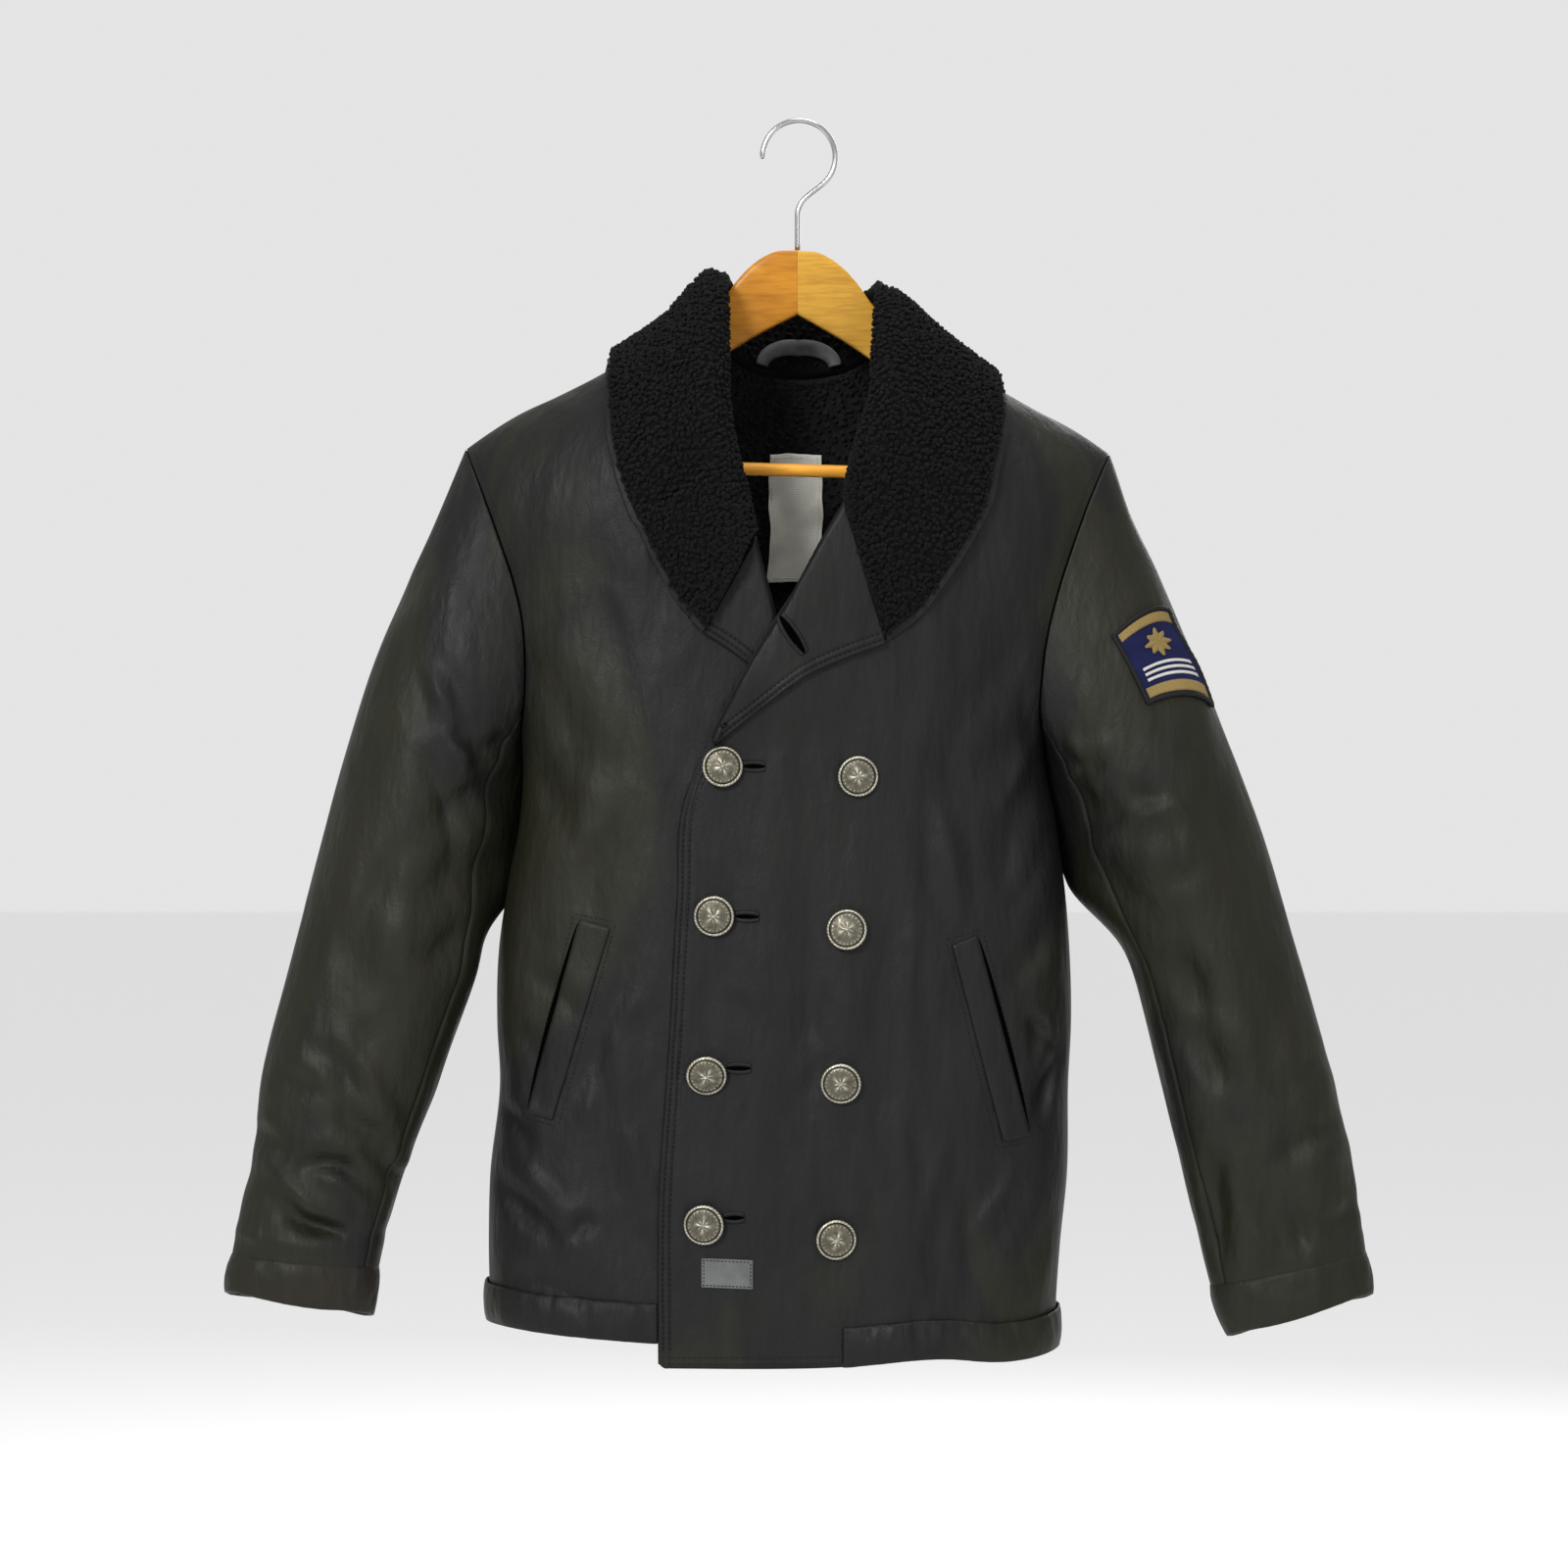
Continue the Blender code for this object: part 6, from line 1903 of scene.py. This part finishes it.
def button_relief(r, turn):
    """How far a button's face stands out at its radius share and angle: a flat rim with a corded
    ring, then a domed middle that carries a compass star and a ring of beads."""
    rim = ease(0.86, 0.90, r) * (1 - ease(0.97, 1.0, r))
    cord = rim * (0.07 + 0.045 * np.sin(34 * turn + 14 * (r - 0.93) * 20))
    groove = -0.07 * hump(0.84, 0.022, r) - 0.03 * hump(0.985, 0.01, r)
    arm = np.abs(np.cos(2 * turn)) ** 9 * ease(0.60, 0.10, r)
    short = np.abs(np.sin(2 * turn)) ** 15 * ease(0.42, 0.08, r)
    beads = hump(0.72, 0.035, r) * (0.5 + 0.5 * np.sin(24 * turn)) ** 2
    waves = 0.4 * hump(0.62, 0.02, r) * (0.5 + 0.5 * np.sin(12 * turn))
    return (
        button_dome(r) + cord + groove + 0.10 * arm + 0.075 * short
        + 0.07 * beads + 0.05 * waves + 0.05 * hump(0, 0.07, r)
    )


def make_buttons():
    """Domed pewter buttons on a polar grid, each leaning a little on its shank."""
    share = (np.linspace(1, 0, BUTTON_RINGS) ** 0.85)[:-1]
    turn = np.linspace(0, math.tau, BUTTON_TURNS, endpoint=False)
    r, t = np.meshgrid(share, turn, indexing="ij")
    high = button_relief(r, t)
    bright = np.clip(0.42 + (high - button_dome(r)) * 6.5, 0, 1)
    back = np.repeat(np.array(BUTTON_BACK)[:, None], BUTTON_TURNS, axis=1)
    rows = np.concatenate([back, np.stack([r, high], -1)])
    bright = np.concatenate([np.full(back.shape[:2], 0.2), bright])
    faces = tube_faces(np.arange(rows.shape[0] * BUTTON_TURNS).reshape(1, -1, BUTTON_TURNS))
    for number, ((x, z), (yaw, pitch)) in enumerate(zip(BUTTON_CENTRES, BUTTON_LEAN), start=1):
        near = np.array([-8.0, 0.0, 8.0])
        patch = left_front(x + near[None, :] + 0 * near[:, None], z + near[:, None] + 0 * near[None, :])
        out = out_normals(patch)[1, 1]
        seat = left_front(np.array(x), np.array(z)) + out * 0.9
        tilt = np.radians([yaw, pitch])
        out = unit(out + np.array([math.tan(tilt[0]), 0, -math.tan(tilt[1])]))
        first = unit(np.cross(np.array([0.0, 0.0, 1.0]), out))
        second = np.cross(out, first)
        angle = turn[None, :] + 0.35 * number
        sunk = BUTTON_RADIUS * math.sin(max(abs(tilt))) * 0.55
        local = (
            first * (rows[..., :1] * np.cos(angle)[..., None])
            + second * (rows[..., :1] * np.sin(angle)[..., None])
        ) * BUTTON_RADIUS
        points = seat + local + out * (BUTTON_HEIGHT * rows[..., 1:] + sunk)
        made = mesh_of(f"button_{number}_dome", points.reshape(-1, 3), faces, pewter)
        layer = made.data.attributes.new("relief", "FLOAT", "POINT")
        layer.data.foreach_set("value", bright.astype(np.float32).ravel())
        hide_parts(f"button_{number}")


def signed_power(values, power):
    """The size of each value raised to the power, with the value's sign."""
    return np.sign(values) * np.abs(values) ** power


def make_hanger_arms():
    """The hanger's arms, mitred together in the middle: rounded rectangles from the top to the bottom
    of the arm, squarer near the middle and a little smaller at the end."""
    turn = np.radians(np.arange(0, 360, 7.5) + 3.75)
    places = np.concatenate([
        [0.02, 0.6, 1.4], np.linspace(3, ARM_REACH - 4, 96), ARM_REACH - np.array([2.2, 0.9, 0.0]),
    ])
    for name, side in (("right", -1), ("left", 1)):
        top = column(ARM, 0, 1, places) - TILT * places * side
        bottom = column(ARM, 0, 2, places) - TILT * places * side
        thick = ARM_THICK + 5 * ease(60, 190, places)
        power = (0.30 + 0.40 * ease(50, 90, places))[:, None]
        end = 1 - 0.28 * np.exp(-((ARM_REACH - places) / 1.6))
        y = signed_power(np.cos(turn), power) * (thick / 2 * end)[:, None]
        z = signed_power(np.sin(turn), power) * ((top - bottom) / 2 * end)[:, None]
        points = np.stack([side * places[:, None] + 0 * y, y, (top + bottom)[:, None] / 2 + z], axis=-1)
        if side < 0:
            points = points[::-1]
        faces = tube_faces(np.arange(points.shape[0] * len(turn)).reshape(1, -1, len(turn)))
        # The right arm takes the copy of the wood with painted shade.
        finish = wood_right_painted_shade if side < 0 else wood_left
        made = mesh_of(f"hanger_arm_{name}_wood", points.reshape(-1, 3), faces, finish)
        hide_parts(f"hanger_arm_{name}")


def make_bar_and_hook():
    """The trouser bar between the arms, and the wire hook, its tip rounded off."""
    bar = np.linspace(-BAR_REACH, BAR_REACH, 60)
    path = np.stack([bar, 0 * bar, BAR_HEIGHT - TILT * bar], axis=-1)
    # The bar's wood is painted lighter than the arms, as painted light in its shadow.
    made = tube("hanger_bar_wood", path, BAR_RADIUS, wood_bar_painted_light, sides=28)
    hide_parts("hanger_bar")
    path = hook_path()
    radii = np.ones(len(path))
    radii[:3] = (0.55, 0.85, 0.97)
    made = tube("hook_wire", path, WIRE_RADIUS, chrome, sides=20, radii=radii)
    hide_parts("hook")


def hook_path():
    """The hook's middle line: round the top bend, then a reverse curve into the straight stem."""
    top = WIRE_RADIUS - HOOK_RADIUS
    turn = np.radians(np.linspace(HOOK_START, HOOK_END, 70))
    bend = np.stack([1.0 + HOOK_RADIUS * np.cos(turn), 0 * turn, top + HOOK_RADIUS * np.sin(turn)], axis=-1)
    lean = math.radians(-HOOK_END)
    start = bend[-1]
    near = start + np.array([-math.sin(lean), 0, -math.cos(lean)]) * 14
    foot = np.array([0.0, 0.0, -66.0])
    far = foot + np.array([0, 0, 15.0])
    s = np.linspace(0, 1, 30)[1:, None]
    back = 1 - s
    curve = start * back**3 + near * 3 * back**2 * s + far * 3 * back * s**2 + foot * s**3
    stem = np.stack([np.zeros(6), np.zeros(6), np.linspace(-68, STEM_FOOT, 6)], axis=-1)
    return np.concatenate([bend, curve, stem])


make_body()
make_hems()
make_sleeves()
make_collar()
make_lapels()
make_neck_lining()
make_loop()
make_care_label()
make_welts()
make_front_label()
make_buttonholes()
make_topstitching()
make_patch()
make_buttons()
make_hanger_arms()
make_bar_and_hook()

# The camera stands level with the middle of the jacket, four metres in front of it.
CAMERA = (-0.0096, -4.0, -0.472)
VIEW_WIDE = 1.12
SENSOR = 36.0
camera_data = bpy.data.cameras.new("camera")
camera_data.sensor_width = SENSOR
camera_data.lens = SENSOR * -CAMERA[1] / VIEW_WIDE
camera = bpy.data.objects.new("camera", camera_data)
camera.location = CAMERA
camera.rotation_euler = (math.radians(90), 0, 0)
bpy.context.collection.objects.link(camera)
bpy.context.scene.camera = camera


def soft_light(name, place, aim, wide, power, colour=(1, 1, 1)):
    """A large square lamp that looks from its place to what it is aimed at."""
    data = bpy.data.lights.new(name, "AREA")
    data.shape = "SQUARE"
    data.size = wide
    data.energy = power
    data.color = colour
    made = bpy.data.objects.new(name, data)
    made.location = place
    made.rotation_euler = (Vector(aim) - Vector(place)).to_track_quat("-Z", "Y").to_euler()
    bpy.context.collection.objects.link(made)


soft_light("key_light", (-1.3, -3.1, 1.1), (0, 0, -0.45), 0.8, 96)
soft_light("fill_light", (1.5, -3.4, -0.1), (0, 0, -0.5), 1.2, 15)
soft_light("top_light", (0.3, -0.6, 2.0), (0, 0, -0.4), 1.2, 34)
soft_light("back_light", (0.8, 2.6, 0.8), (0, 0, -0.4), 1.6, 26)

FLOOR = -1.25
floor_material = new_material("pale_floor", (0.92, 0.92, 0.92), 0.7)[0]
bpy.ops.mesh.primitive_plane_add(size=60, location=(0, 0, FLOOR))
floor = bpy.context.object
floor.name = "floor"
floor.data.materials.append(floor_material)

world = bpy.data.worlds.new("studio")
bpy.context.scene.world = world
world.use_nodes = True
world.node_tree.nodes["Background"].inputs["Color"].default_value = (1.0, 1.0, 1.0, 1.0)
world.node_tree.nodes["Background"].inputs["Strength"].default_value = 0.78
bpy.context.scene.view_settings.view_transform = "Standard"
